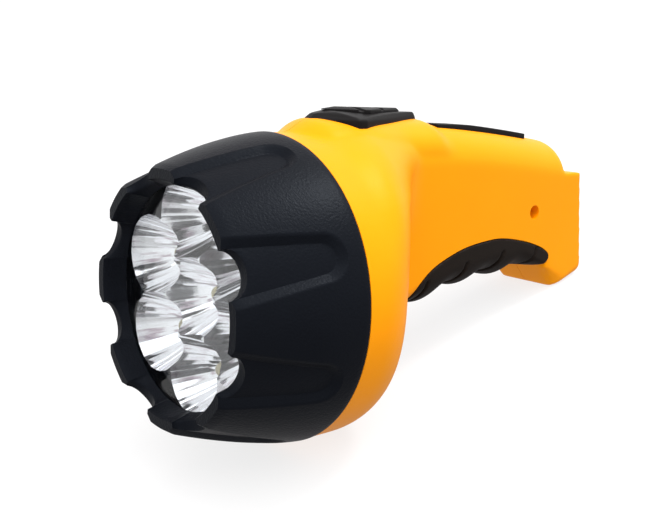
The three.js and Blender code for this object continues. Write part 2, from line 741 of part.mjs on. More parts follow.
function housingCuts() {
  const skin = gripBody().subtract(housing(GRIP_SKIN, 5, 8));
  const strip = sideSlab(stripOutline(SEAT_GAP), 2 * STRIP_HALF + 2 * SEAT_GAP);
  const stripClear = strip.translate([0, 0, STRIP_PROUD]);
  const slotLength = STEM_LENGTH + 2 * KNOB_TRAVEL + 2 * RUN_GAP;
  const window = block(SWITCH_X, 0, padTop, slotLength, STEM_WIDTH + 2 * RUN_GAP, PAD_CAP);
  const strap = barY(STRAP_R, -OVERRUN, OVERRUN, STRAP_X, STRAP_Z, 16);
  const tabRun = TAB_LENGTH + PLUG_TRAVEL + 2 * RUN_GAP;
  const tab = block(
    PLUG_X + PLUG_TRAVEL / 2,
    HANDLE_HALF,
    PLUG_Z,
    tabRun,
    2 * (GRIP_SKIN + GRIP_BACKING + RUN_GAP),
    TAB_HEIGHT + 2 * RUN_GAP,
  );
  const blades = [-1, 1].map((side) =>
    block(
      BLADE_TIP,
      (side * BLADE_SPREAD) / 2,
      PLUG_Z,
      4 * WALL,
      BLADE_THICK + 2 * RUN_GAP,
      BLADE_WIDTH + 2 * RUN_GAP,
    ),
  );
  const rear = shellRear(INDICATOR_Z);
  const indicator = barX(INDICATOR_R + SEAT_GAP, rear - 2 * WALL, rear + WALL, 0, INDICATOR_Z, 12);
  return joined([skin, strip, stripClear, window, strap, tab, ...blades, indicator]);
}

function screwBosses(form) {
  const strap = barY(STRAP_R + STRAP_WALL, -HANDLE_HALF, HANDLE_HALF, STRAP_X, STRAP_Z, 16);
  const bosses = screwPlaces.map(([x, z]) => barY(BOSS_R, -HEAD_R, HEAD_R, x, z, 16));
  return joined([strap, ...bosses]).intersect(form);
}

function screwHoles() {
  return screwPlaces.flatMap(([x, z]) => {
    const shaft = barY(SCREW_PILOT_R, -SCREW_LENGTH, SCREW_LENGTH, x, z, 10);
    const recess = barY(SCREW_RECESS_R, screwSeat, HEAD_R, x, z, 14);
    return [shaft, recess];
  });
}

const screwSeat = HANDLE_HALF / 4 + WALL; // plane under the heads of the shell screws

function housingShells() {
  const outer = housingOuter();
  const fitted = [...plugRails(), ...batteryRibs(), ...chargerPosts()];
  const hollow = outer.subtract(housingCavity()).add(screwBosses(outer)).add(joined(fitted));
  const strapBore = barY(STRAP_R, -OVERRUN, OVERRUN, STRAP_X, STRAP_Z, 16);
  const form = hollow.subtract(housingCuts()).subtract(joined(screwHoles())).subtract(strapBore);
  const keep = (side) => {
    const y = side * (OVERRUN + SEAT_GAP / 2);
    return form.intersect(block(OVERRUN, y, 0, 8 * OVERRUN, 2 * OVERRUN, 8 * OVERRUN));
  };
  return [keep(-1), keep(1)];
}

// Fluted bezel.

function bezelRadius(x) {
  return bezelR - (bezelR - bezelFrontR) * (-x / BEZEL_LENGTH) ** BEZEL_POWER;
}

function bezelProfile() {
  const steps = 8;
  const shoulder = -LENS_BACK - LENS_THICK - SEAT_GAP;
  const outer = range(steps + 1).map((i) => {
    const x = -((BEZEL_LENGTH - BEZEL_CHAMFER) * i) / steps - SEAT_GAP;
    return [x, bezelRadius(x)];
  });
  const bore = reflectorR + SEAT_GAP;
  const seat = collarR + SEAT_GAP;
  const profile = [
    ...outer,
    [-BEZEL_LENGTH, bezelFrontR - BEZEL_CHAMFER / 2],
    [-BEZEL_LENGTH, bezelLipR + BEZEL_MOUTH],
    [shoulder, bezelLipR],
    [shoulder, bore],
    [-COLLAR_LENGTH - SEAT_GAP, bore],
    [-COLLAR_LENGTH - SEAT_GAP, seat],
    [-SEAT_GAP, seat],
  ];
  return [...profile, profile[0]];
}

function bezelFlute(turn) {
  const steps = 6;
  const rear = -FLUTE_END - FLUTE_REAR_HALF;
  const end = range(steps + 1).map((i) => {
    const a = Math.PI / 2 - (Math.PI * i) / steps;
    return [rear + FLUTE_REAR_HALF * Math.cos(a), FLUTE_REAR_HALF * Math.sin(a)];
  });
  const front = -BEZEL_LENGTH - BEZEL_CHAMFER;
  const outline = [...end, [front, -FLUTE_FRONT_HALF], [front, FLUTE_FRONT_HALF]];
  return planSlab(outline, 0, OVERRUN).rotate([(turn * 180) / Math.PI, 0, 0]);
}

function bezelNotch(turn) {
  const cutter = new THREE.CylinderGeometry(1, 1, OVERRUN, 20).rotateX(Math.PI / 2);
  cutter.scale(NOTCH_DEPTH, NOTCH_HALF, 1).translate(-BEZEL_LENGTH, 0, OVERRUN / 2 + cupR);
  return solid(cutter.rotateX(turn));
}

function bezel() {
  const steps = 6;
  const ring = revolved(bezelProfile(), BEZEL_RINGS);
  const front = -BEZEL_LENGTH - OVERRUN;
  const floor = range(steps + 1).map((i) => {
    const x = -((BEZEL_LENGTH + BEZEL_CHAMFER) * i) / steps;
    return [x, bezelRadius(x) - FLUTE_DEPTH];
  });
  const skin = revolved([...floor, [front, HEAD_R], [front, OVERRUN], [0, OVERRUN], floor[0]], BEZEL_RINGS);
  const turns = range(BEZEL_COUNT).map((i) => ((i + 0.5) * 2 * Math.PI) / BEZEL_COUNT);
  const flutes = joined(turns.map(bezelFlute)).intersect(skin);
  const notches = joined(turns.map(bezelNotch));
  return ring.subtract(flutes).subtract(notches);
}

// Lens, reflector, LEDs and their board.

const cupPlaces = [
  [0, 0],
  ...range(CUP_COUNT).map((i) => {
    const a = cupTurn + Math.PI / 2 + (i * 2 * Math.PI) / CUP_COUNT;
    return [cupPitch * Math.cos(a), cupPitch * Math.sin(a)];
  }),
];
const postPlaces = range(POST_COUNT).map((i) => {
  const a = cupTurn + (i * 2 * Math.PI) / POST_COUNT;
  return [postPlace * Math.cos(a), postPlace * Math.sin(a)];
});
const reflectorFront = -LENS_BACK + SEAT_GAP;
const cupFloor = reflectorFront + CUP_DEPTH;
const reflectorBack = -COLLAR_LENGTH - SEAT_GAP;

function cup(grow, x1) {
  const x0 = reflectorFront;
  const middle = (x0 + cupFloor) / 2;
  const profile = [
    [x0 - SEAT_GAP, 0],
    [x0 - SEAT_GAP, cupR + grow],
    [x0, cupR + grow],
    [middle, cupR * cupMidShare + grow],
    [cupFloor, cupFloorR + grow],
    [x1, cupFloorR + grow],
    [x1, 0],
  ];
  return revolved(profile, CUP_FACETS);
}

function reflector() {
  const flange = barX(reflectorR, reflectorFront, reflectorFront + REFLECTOR_WALL, 0, 0, BEZEL_RINGS);
  const skirt = barX(reflectorR, reflectorFront, reflectorBack, 0, 0, BEZEL_RINGS).subtract(
    barX(reflectorR - REFLECTOR_WALL, -OVERRUN, OVERRUN, 0, 0, BEZEL_RINGS),
  );
  const back = reflectorBack + SEAT_GAP / 2;
  const front = block(reflectorFront - OVERRUN / 2, 0, 0, OVERRUN, 2 * OVERRUN, 2 * OVERRUN);
  const shells = cupPlaces.map(([y, z]) => cup(REFLECTOR_WALL, back).translate([0, y, z]));
  const posts = postPlaces.map(([y, z]) => barX(POST_R, reflectorFront, back, y, z, 12));
  const pilots = postPlaces.map(([y, z]) => barX(SCREW_PILOT_R, -COLLAR_LENGTH - SCREW_LENGTH, 0, y, z, 8));
  const hollows = cupPlaces.map(([y, z]) => cup(0, 0).translate([0, y, z]));
  const solidPart = joined([flange, skirt, ...shells, ...posts]).subtract(front);
  return solidPart.subtract(joined(hollows)).subtract(joined(pilots));
}

function lens() {
  return barX(lensR, -LENS_BACK - LENS_THICK, -LENS_BACK, 0, 0, BEZEL_RINGS / 2);
}

const boardFront = reflectorBack + SEAT_GAP / 2 + SEAT_GAP;

function ledBoard() {
  const disc = barX(boardR, boardFront, boardFront + BOARD_THICK, 0, 0, BEZEL_RINGS / 2);
  const holes = postPlaces.map(([y, z]) => barX(SCREW_PILOT_R, -OVERRUN, OVERRUN, y, z, 8));
  return disc.subtract(joined(holes));
}

// One LED with its base at x = 0 and its dome toward -X.
function led() {
  const steps = 3;
  const dome = range(steps + 1).map((i) => {
    const a = ((Math.PI / 2) * i) / steps;
    return [-(LED_LENGTH - LED_R + LED_R * Math.sin(a)), LED_R * Math.cos(a)];
  });
  dome[steps][1] = 0;
  const flange = [
    [0, 0],
    [0, LED_FLANGE_R],
    [-LED_FLANGE, LED_FLANGE_R],
    [-LED_FLANGE, LED_R],
  ];
  return revolved([...flange, ...dome], 10);
}

// A pan-head screw along X with the underside of its head at x = 0 and its point toward -X.
function screw(length, headR, head) {
  const tip = 2 * SCREW_R;
  const profile = [
    [head, 0],
    [head, headR * screwFaceShare],
    [head * screwFaceShare, headR],
    [0, headR],
    [0, SCREW_R],
    [tip - length, SCREW_R],
    [-length, 0],
  ];
  return revolved(profile, 8);
}

// Switch.

const stemSlot = () => {
  const length = STEM_LENGTH + 2 * KNOB_TRAVEL + 2 * RUN_GAP;
  return block(SWITCH_X, 0, plateTop, length, STEM_WIDTH + 2 * RUN_GAP, PAD_CAP * 2);
};

function switchPlate() {
  const plan = [PLATE_FRONT, PLATE_CORNER, PLATE_REAR, PLATE_HALF];
  const body = kiteBody(plan, PLATE_BEVEL, plateRoot, plateWall, plateTop);
  const seat = housing(-SEAT_GAP, 7, 14).add(pad(-SEAT_GAP));
  return body.intersect(crownedBar(plateTop, PLATE_CROWN_R)).subtract(seat).subtract(stemSlot());
}

function switchKnob() {
  const plan = [KNOB_FRONT, KNOB_CORNER, KNOB_REAR, KNOB_HALF];
  const body = kiteBody(plan, KNOB_EDGE, plateRoot, plateTop, knobTop);
  const rise = knobTop - plateTop;
  const crowned = body.intersect(crownedBar(knobTop, PLATE_CROWN_R + rise));
  const cap = crowned.subtract(crownedBar(plateTop + SEAT_GAP, PLATE_CROWN_R + SEAT_GAP));
  const third = (KNOB_REAR - KNOB_FRONT) / 3;
  const floor = crownedBar(knobTop - KNOB_GROOVE_DEPTH, PLATE_CROWN_R + rise - KNOB_GROOVE_DEPTH);
  const grooves = [1, 2].map((i) => {
    return block(KNOB_FRONT + i * third, 0, knobTop, KNOB_GROOVE, OVERRUN, PAD_CAP);
  });
  const stemFoot = switchTop + RUN_GAP;
  const stemTop = plateTop + RUN_GAP;
  const stem = block(SWITCH_X, 0, (stemFoot + stemTop) / 2, STEM_LENGTH, STEM_WIDTH, stemTop - stemFoot);
  const socketSize = LEVER_SIZE + 2 * SEAT_GAP;
  const socketTop = leverTop + SEAT_GAP;
  const socket = block(SWITCH_X, 0, socketTop - OVERRUN / 2, socketSize, socketSize, OVERRUN);
  return cap.subtract(joined(grooves).subtract(floor)).add(stem).subtract(socket);
}

function switchBody() {
  const z = switchTop - SWITCH_DEPTH / 2;
  const box = block(SWITCH_X, 0, z, SWITCH_LENGTH, SWITCH_WIDTH, SWITCH_DEPTH);
  const span = SWITCH_LENGTH + 2 * SWITCH_EAR_REACH;
  const ears = block(SWITCH_X, 0, switchTop - SWITCH_EAR / 2, span, SWITCH_WIDTH, SWITCH_EAR);
  const slotLength = LEVER_SIZE + 2 * KNOB_TRAVEL + 2 * RUN_GAP;
  const slot = block(SWITCH_X, 0, switchTop, slotLength, LEVER_SIZE + 2 * RUN_GAP, 2 * SWITCH_SLOT_DEPTH);
  return box.add(ears).subtract(slot);
}

function switchLever() {
  const foot = switchTop - SWITCH_SLOT_DEPTH + RUN_GAP;
  return block(SWITCH_X, 0, (foot + leverTop) / 2, LEVER_SIZE, LEVER_SIZE, leverTop - foot);
}

// Strip and finger grip.

function topStrip() {
  return sideSlab(stripOutline(0), 2 * STRIP_HALF);
}

// The grip swells between its grooves.
function gripInset(x) {
  const turn = (Math.PI * (x - GRIP_FIRST_GROOVE)) / GRIP_PITCH;
  return -GRIP_PROUD * Math.abs(Math.sin(turn)) ** GRIP_SWELL_POWER;
}

function gripGroove(i) {
  const x = GRIP_FIRST_GROOVE + i * GRIP_PITCH;
  const slab = new THREE.BoxGeometry(GROOVE_WIDTH, OVERRUN, OVERRUN).rotateY(GROOVE_LEAN);
  return solid(slab.translate(x, 0, archHeight(x)));
}

function fingerGrip() {
  const quarter = GRIP_PITCH / 6;
  const count = Math.round((FOOT_FACE_TOP - neckEnd) / quarter);
  const extra = range(count).map((i) => neckEnd + (i + 0.5) * quarter);
  const form = housing(gripInset, 5, 8, extra);
  const skin = form.subtract(housing(GRIP_SKIN - SEAT_GAP, 5, 8));
  const tail = sideSlab(tailOutline(-SEAT_GAP), 4 * HANDLE_HALF);
  const head = block(GRIP_FRONT - OVERRUN + SEAT_GAP, 0, 0, 2 * OVERRUN, 4 * OVERRUN, 4 * OVERRUN);
  const edge = sideSlab(gripOutline(-SEAT_GAP), 4 * HANDLE_HALF);
  const grip = skin.intersect(edge).subtract(tail).subtract(head);
  const grooveFloor = housing(GROOVE_DEPTH - GRIP_PROUD, 5, 8);
  const grooves = joined(range(GRIP_GROOVES).map(gripGroove)).subtract(grooveFloor);
  return grip.subtract(grooves);
}

// Battery.

function battery() {
  const lid = batteryLid;
  const step = BATTERY_EDGE;
  const outline = [
    [BATTERY_FRONT, BATTERY_FLOOR],
    [batteryRear, BATTERY_FLOOR],
    [batteryRear, lid - BATTERY_LID],
    [batteryRear - step, lid - BATTERY_LID + step],
    [batteryRear - step, lid],
    [BATTERY_FRONT + step, lid],
    [BATTERY_FRONT + step, lid - BATTERY_LID + step],
    [BATTERY_FRONT, lid - BATTERY_LID],
  ];
  return sideSlab(outline, 2 * BATTERY_HALF, BATTERY_EDGE / 2);
}

function terminal() {
  return block(0, 0, TERMINAL_HEIGHT / 2, TERMINAL_WIDTH, TERMINAL_THICK, TERMINAL_HEIGHT);
}

// Plug.

function plugCarrier() {
  const body = block(0, 0, 0, CARRIER_LENGTH, 2 * CARRIER_HALF, CARRIER_HEIGHT);
  const capFace = HANDLE_HALF + SEAT_GAP;
  const stemEnd = capFace + TAB_CAP_THICK / 2;
  const tabReach = stemEnd - CARRIER_HALF + WALL / 2;
  const tab = block(0, (CARRIER_HALF + stemEnd) / 2, 0, TAB_LENGTH, tabReach, TAB_HEIGHT);
  const cap = block(0, capFace + TAB_CAP_THICK / 2, 0, TAB_CAP_LENGTH, TAB_CAP_THICK, TAB_CAP_HEIGHT);
  const ridges = [-1, 0, 1].map((i) =>
    block((i * TAB_CAP_LENGTH) / 3, capFace + TAB_CAP_THICK, 0, TAB_RIDGE, 2 * TAB_RIDGE, TAB_CAP_HEIGHT),
  );
  const waist = block(CARRIER_LENGTH / 2, 0, 0, CARRIER_LENGTH, BLADE_SPREAD / 2, CARRIER_HEIGHT * 2);
  const slotThick = BLADE_THICK + 2 * SEAT_GAP;
  const slotWidth = BLADE_WIDTH + 2 * SEAT_GAP;
  const slots = [-1, 1].map((side) =>
    block(0, (side * BLADE_SPREAD) / 2, 0, 2 * CARRIER_LENGTH, slotThick, slotWidth),
  );
  return joined([body, tab, cap, ...ridges]).subtract(waist).subtract(joined(slots));
}

function plugBlade() {
  const front = PLUG_X - CARRIER_LENGTH / 2 - BLADE_TAIL;
  const nose = BLADE_THICK;
  const half = BLADE_WIDTH / 2;
  const outline = [
    [front, -half - HEEL_DROP],
    [front + BLADE_HEEL, -half - HEEL_DROP],
    [front + BLADE_HEEL, -half],
    [BLADE_TIP - nose, -half],
    [BLADE_TIP, nose - half],
    [BLADE_TIP, half - nose],
    [BLADE_TIP - nose, half],
    [front, half],
  ];
  return sideSlab(outline, BLADE_THICK).translate([-PLUG_X, 0, 0]);
}

// Brass leaf that a blade's heel meets when the plug is out: a plate under the rail, with an upright tongue.
function plugContact() {
  const railFoot = PLUG_Z - CARRIER_HEIGHT / 2 - SEAT_GAP - RAIL;
  const middle = railFoot - SEAT_GAP - CONTACT_HEIGHT / 2;
  const plate = block(0, contactWidth / 2, middle, CONTACT_THICK, contactWidth, CONTACT_HEIGHT);
  const rise = RAIL + 2 * SEAT_GAP;
  const z = railFoot - SEAT_GAP + rise / 2 - SEAT_GAP;
  return plate.add(block(0, CONTACT_TONGUE / 2, z, CONTACT_THICK, CONTACT_TONGUE, rise + SEAT_GAP / 2));
}

function indicator() {
  const profile = [
    [0, 0],
    [0, INDICATOR_R],
    [INDICATOR_LENGTH - INDICATOR_R, INDICATOR_R],
    [INDICATOR_LENGTH - INDICATOR_R / 3, INDICATOR_R * 0.7],
    [INDICATOR_LENGTH, 0],
  ];
  return revolved(profile, 12);
}

// A lead along a smooth line through points given as [x, y, z], over a base height.
function lead(points, base = 0) {
  const path = new THREE.CatmullRomCurve3(points.map(([x, y, z]) => new THREE.Vector3(x, y, z + base)));
  const sides = 5;
  const round = range(sides).map((i) => {
    const a = (2 * Math.PI * i) / sides;
    return new THREE.Vector2(LEAD_R * Math.cos(a), LEAD_R * Math.sin(a));
  });
  const options = { steps: 3 * points.length, extrudePath: path };
  return solid(new THREE.ExtrudeGeometry(new THREE.Shape(round), options));
}

// The torch as a scene graph.

const torch = new THREE.Group();
const tilted = new THREE.Group();
tilted.rotation.y = tilt;
torch.add(tilted);

function place(parent, name, body, material, x = 0, y = 0, z = 0) {
  const mesh = new THREE.Mesh(surface(body), material);
  mesh.name = name;
  mesh.position.set(x, y, z);
  parent.add(mesh);
  return mesh;
}

function addHead(parent) {
  const head = new THREE.Group();
  parent.add(head);
  place(head, "bezel", bezel(), black);
  place(head, "lens", lens(), clear);
  place(head, "reflector", reflector(), mirror);
  place(head, "led_board", ledBoard(), board);
  const one = led();
  cupPlaces.forEach(([y, z], i) => place(head, `led_${i + 1}`, one, ledClear, boardFront - SEAT_GAP, y, z));
  const fixing = screw(SCREW_LENGTH / 1.6, BOARD_SCREW_HEAD_R, BOARD_SCREW_HEAD);
  const back = boardFront + BOARD_THICK + SEAT_GAP;
  postPlaces.forEach(([y, z], i) => place(head, `reflector_screw_${i + 1}`, fixing, steel, back, y, z));
  const resistor = barX(RESISTOR_R, -RESISTOR_LENGTH / 2, RESISTOR_LENGTH / 2, 0, 0, 10);
  const rest = back + RESISTOR_R;
  const mesh = place(head, "led_resistor", resistor, fibre, rest, RESISTOR_PLACE, RESISTOR_PLACE);
  mesh.rotation.z = Math.PI / 2;
}

function addShells(parent) {
  const [left, right] = housingShells();
  place(parent, "body_left", left, yellow);
  place(parent, "body_right", right, yellow);
  place(parent, "top_strip", topStrip(), black);
  place(parent, "finger_grip", fingerGrip(), rubber);
  const fixing = screw(SCREW_LENGTH, SCREW_HEAD_R, SCREW_HEAD);
  screwPlaces.forEach(([x, z], i) => {
    const mesh = place(parent, `shell_screw_${i + 1}`, fixing, steel, x, screwSeat + SEAT_GAP, z);
    mesh.rotation.z = Math.PI / 2;
  });
}

function addSwitch(parent) {
  const group = new THREE.Group();
  parent.add(group);
  place(group, "switch_plate", switchPlate(), black);
  place(group, "switch_knob", switchKnob(), black);
  place(group, "switch_body", switchBody(), greyCase);
  place(group, "switch_lever", switchLever(), black);
}

function addPower(parent) {
  place(parent, "battery", battery(), greyCase);
  const lid = batteryLid + SEAT_GAP;
  const x = batteryRear - TERMINAL_INSET;
  place(parent, "battery_terminal_plus", terminal(), brass, x, -TERMINAL_SPREAD, lid);
  place(parent, "battery_terminal_minus", terminal(), brass, x, TERMINAL_SPREAD, lid);
  const charger = new THREE.Group();
  charger.position.set(chargerX, CHARGER_Y, chargerZ);
  parent.add(charger);
  const holes = [-1, 1].map((side) => barY(SCREW_PILOT_R, -WALL, WALL, 0, side * BOARD_SCREW_SPREAD, 8));
  const plate = block(0, 0, 0, CHARGER_LENGTH, BOARD_THICK, CHARGER_HEIGHT).subtract(joined(holes));
  place(charger, "charger_board", plate, fibre);
  const face = -BOARD_THICK / 2 - SEAT_GAP;
  const film = block(0, 0, 0, CAP_LENGTH, CAP_WIDTH, CAP_HEIGHT);
  place(charger, "capacitor", film, orangeFilm, 0, face - CAP_WIDTH / 2, 0);
  const bridge = block(0, 0, 0, BRIDGE_SIZE, BRIDGE_WIDTH, BRIDGE_SIZE);
  place(charger, "rectifier", bridge, black, 0, BOARD_THICK / 2 + SEAT_GAP + BRIDGE_WIDTH / 2, 0);
  const fixing = screw(BOARD_SCREW_LENGTH, BOARD_SCREW_HEAD_R, BOARD_SCREW_HEAD);
  [-1, 1].forEach((side, i) => {
    const z = side * BOARD_SCREW_SPREAD;
    const mesh = place(charger, `charger_screw_${i + 1}`, fixing, steel, 0, face, z);
    mesh.rotation.z = -Math.PI / 2;
  });
  const rear = shellRear(INDICATOR_Z) - INDICATOR_LENGTH + INDICATOR_R / 2;
  place(parent, "charge_indicator", indicator(), ledRed, rear, 0, INDICATOR_Z);
}

function addPlug(parent) {
  const plug = new THREE.Group();
  plug.position.set(PLUG_X, 0, PLUG_Z);
  parent.add(plug);
  place(plug, "plug_carrier", plugCarrier(), black);
  place(plug, "plug_blade_left", plugBlade(), brass, 0, -BLADE_SPREAD / 2, 0);
  place(plug, "plug_blade_right", plugBlade(), brass, 0, BLADE_SPREAD / 2, 0);
}

function addContacts(parent) {
  const travelled = PLUG_X + PLUG_TRAVEL - CARRIER_LENGTH / 2 - BLADE_TAIL;
  const x = travelled + BLADE_HEEL + SEAT_GAP + CONTACT_THICK / 2;
  place(parent, "plug_contact_right", plugContact(), brass, x, contactY, 0);
  place(parent, "plug_contact_left", plugContact().mirror([0, 1, 0]), brass, x, -contactY, 0);
}

function addLeads(parent) {
  place(parent, "lead_switch_led", lead(switchLead, batteryLid), leadRed);
  place(parent, "lead_battery_plus", lead(plusLead, batteryLid), leadRed);
  place(parent, "lead_battery_minus", lead(minusLead, batteryLid), leadBlack);
  place(parent, "lead_charger_plus", lead(chargerPlusLead, batteryLid), leadRed);
  place(parent, "lead_charger_minus", lead(chargerMinusLead, batteryLid), leadBlack);
  const right = mainsLead.map(([x, y, z], i) => [x + (i > 3 ? MAINS_SPREAD / 2 : 0), y, z]);
  const left = mainsLead.map(([x, y, z], i) => [x - (i > 3 ? MAINS_SPREAD / 2 : 0), i > 3 ? y : -y, z]);
  place(parent, "lead_mains_right", lead(right), leadBlack);
  place(parent, "lead_mains_left", lead(left), leadBlack);
}

addHead(tilted);
addShells(tilted);
addSwitch(tilted);
addPower(tilted);
addPlug(tilted);
addContacts(tilted);
addLeads(tilted);

// The origin is under the middle of the torch, on the surface that it stands on.
torch.updateMatrixWorld(true);
const box = new THREE.Box3().setFromObject(torch, true);
const middle = box.getCenter(new THREE.Vector3());
tilted.position.set(-middle.x, 0, -box.min.z);

export default torch;
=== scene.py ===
import math

import bmesh
import bpy
from mathutils import Matrix, Vector


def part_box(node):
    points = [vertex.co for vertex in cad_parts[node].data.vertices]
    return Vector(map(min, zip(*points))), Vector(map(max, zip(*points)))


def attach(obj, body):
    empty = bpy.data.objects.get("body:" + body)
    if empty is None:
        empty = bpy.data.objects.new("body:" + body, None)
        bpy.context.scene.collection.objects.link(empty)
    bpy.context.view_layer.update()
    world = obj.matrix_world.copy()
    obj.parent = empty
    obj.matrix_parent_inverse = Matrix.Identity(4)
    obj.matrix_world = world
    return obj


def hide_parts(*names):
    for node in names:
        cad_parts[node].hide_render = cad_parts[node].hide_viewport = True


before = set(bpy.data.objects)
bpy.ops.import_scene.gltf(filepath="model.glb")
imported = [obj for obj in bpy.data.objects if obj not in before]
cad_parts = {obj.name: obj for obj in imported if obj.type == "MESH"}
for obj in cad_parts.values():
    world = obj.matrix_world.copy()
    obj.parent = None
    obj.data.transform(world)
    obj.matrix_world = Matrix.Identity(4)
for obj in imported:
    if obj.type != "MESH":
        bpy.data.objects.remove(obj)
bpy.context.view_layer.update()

# The torch stands nose up, on the back of its head and on its foot. Each piece is drawn level, in
# millimetres, with the beam along -X and the crest up, and is then tipped into its place in the frame.
TILT = math.radians(16.6909)
LENS_MIDDLE = Vector((-31, 0, 0))

tip = Matrix.Rotation(TILT, 4, "Y")
low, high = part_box("lens")
shift = (Vector(low) + Vector(high)) / 2 - tip @ (LENS_MIDDLE / 1000)
seat = Matrix.Translation(shift) @ tip @ Matrix.Scale(0.001, 4)


# Camera. It stands in front of the torch and to its left, a little over the beam axis.
EYE_TURN = -0.7164
EYE_RISE = 0.18626
EYE_ROLL = 0.04017
EYE_AWAY = 300
EYE_ACROSS = 22.102
EYE_OVER = 8.3706
EYE_LENS = 49.57

flat = math.cos(EYE_RISE)
back = Vector((math.sin(EYE_TURN) * flat, -math.cos(EYE_TURN) * flat, math.sin(EYE_RISE)))
level = Vector((math.cos(EYE_TURN), math.sin(EYE_TURN), 0))
upright = back.cross(level)
across = level * math.cos(EYE_ROLL) + upright * math.sin(EYE_ROLL)
over = upright * math.cos(EYE_ROLL) - level * math.sin(EYE_ROLL)
stand = back * EYE_AWAY + across * EYE_ACROSS + over * EYE_OVER
axes = Matrix((across, over, back)).transposed().to_4x4()
eye = bpy.data.objects.new("camera", bpy.data.cameras.new("camera"))
bpy.context.collection.objects.link(eye)
eye.data.lens = EYE_LENS
eye.data.sensor_width = 36
eye.data.clip_start = 0.01
eye.matrix_world = Matrix.Translation(seat @ stand) @ (tip @ axes)
bpy.context.scene.camera = eye


# Housing. Two shells of yellow ABS, screwed together on the mid-plane. The round head, the hood that runs
# from it into the handle, the raised pad for the switch, the handle and the tail block are one form, and a
# stepped collar holds the bezel. The form is drawn in sections along X and fused, opened and given its wall.
HEAD_R = 50
HEAD_STRAIGHT = 8
SHOULDER_R = 20
NECK_LENGTH = 22
HANDLE_HALF = 15.5
CREST_HEIGHT = 53.2
CREST_LEVEL_END = 62
CREST_FALL = 4.6
CREST_POWER = 1.5
ARCH_HEIGHT = -2
ARCH_CENTRE = 108
ARCH_REACH = 48
ARCH_DROP = 6.8
HANDLE_END = 138
END_ROUND = 5.4
END_PLAN_ROUND = 3.5
TOP_CAP = 14
BOTTOM_CAP = 8
BOTTOM_CAP_REAR = 2.2
BOTTOM_CAP_START = 110
FOOT_FACE_TOP = 127.3
STRIP_REAR = 120.8
SEAT_GAP = 0.3
RUN_GAP = 0.4
SKIN = 2
SPLIT = 0.1
SIDE_STEPS = 12
HOOD_START = 10
HOOD_END = 51
HOOD_LAG = 4
HOOD_POWER = 1.3
HOOD_FOOT = 11
HOOD_FULL = 32
HOOD_EASE = 2.5
HOOD_BLEND = 10
HOOD_STEPS = 30
BACK_SHIFT = 1.9
BACK_WAVES = 3.2
BACK_HEIGHT = 21
BACK_FADE = 15
FORM_STEPS = 40
FRONT_PLACES = (0, 2, 4, 6)
neck_start = HEAD_STRAIGHT + SHOULDER_R
neck_end = neck_start + NECK_LENGTH
neck_r = HEAD_R - SHOULDER_R


def soft(t):
    """A share from 0 to 1 with level ends."""
    t = min(max(t, 0), 1)
    return t * t * (3 - 2 * t)


def round_drop(distance, length):
    """How far a quarter round has dropped at a distance along its length, as a share of its height."""
    t = min(max(distance / length, 0), 1)
    return 1 - math.sqrt(1 - t * t)


def crest(x):
    """Height of the top line of the head and handle."""
    rise = (CREST_HEIGHT - HEAD_R) * soft((x - HEAD_STRAIGHT) / SHOULDER_R)
    past = max(x - CREST_LEVEL_END, 0) / (STRIP_REAR - CREST_LEVEL_END)
    return HEAD_R + rise - CREST_FALL * past**CREST_POWER


def arch(x):
    """Height of the handle's underside."""
    return ARCH_HEIGHT - ARCH_DROP * ((x - ARCH_CENTRE) / ARCH_REACH) ** 2


def section(x, inset):
    """Half-width, top, underside and the heights of the two rounded caps."""
    shoulder = SHOULDER_R - inset
    if x <= neck_start - inset:
        radius = neck_r + math.sqrt(max(shoulder**2 - max(x - HEAD_STRAIGHT, 0) ** 2, 0))
        top = max(crest(x) - inset, radius)
        return radius, top, -radius, top, radius
    flare = round_drop(neck_end - x, NECK_LENGTH + inset)
    end_round = END_ROUND - inset
    plan_round = END_PLAN_ROUND - inset
    end = HANDLE_END - inset
    top = crest(x) - inset - end_round * round_drop(x - end + end_round, end_round)
    slim = plan_round * round_drop(x - end + plan_round, plan_round)
    drop = neck_r + arch(neck_start)
    sharpen = soft((x - BOTTOM_CAP_START) / (FOOT_FACE_TOP - BOTTOM_CAP_START))
    cap = max(BOTTOM_CAP - (BOTTOM_CAP - BOTTOM_CAP_REAR) * sharpen - inset, BOTTOM_CAP_REAR / 2)
    return (
        HANDLE_HALF - inset - slim + (neck_r - HANDLE_HALF + inset) * flare,
        top,
        arch(x) + inset - (drop + inset) * flare,
        TOP_CAP - inset + (top - TOP_CAP + inset) * flare,
        cap + (neck_r - cap) * flare,
    )


def oval(x, half, top, bottom, cap_top, cap_bottom, steps):
    """A section with straight sides and half-oval caps."""
    turns = [math.pi * i / steps for i in range(steps + 1)]
    over = [(x, -half * math.cos(a), top - cap_top + cap_top * math.sin(a)) for a in turns]
    under = [(x, half * math.cos(a), bottom + cap_bottom - cap_bottom * math.sin(a)) for a in turns]
    heights = [over[-1][2] + (under[0][2] - over[-1][2]) * i / SIDE_STEPS for i in range(1, SIDE_STEPS)]
    return [*over, *((x, half, z) for z in heights), *under, *((x, -half, z) for z in reversed(heights))]


def hood_half(x, z, inset):
    """Half-width of the hood that the upper head makes as it runs into the handle."""
    end = HOOD_END + HOOD_LAG * soft((z - HOOD_FULL) / (HEAD_R - HOOD_FULL))
    share = soft((x - HOOD_START) / (end - HOOD_START)) ** HOOD_POWER
    half = HEAD_R + (HANDLE_HALF - HEAD_R) * share - inset
    top = crest(x) - inset
    last = None
    for i in range(HOOD_STEPS + 1):
        a = math.pi / 2 * i / HOOD_STEPS
        y = half * math.cos(a)
        height = top * math.sin(a) + (top - TOP_CAP * (1 - math.sin(a)) - top * math.sin(a)) * share
        if height >= z:
            if last is None:
                return y
            return last[1] + (y - last[1]) * (z - last[0]) / (height - last[0])
        last = height, y
    return 0


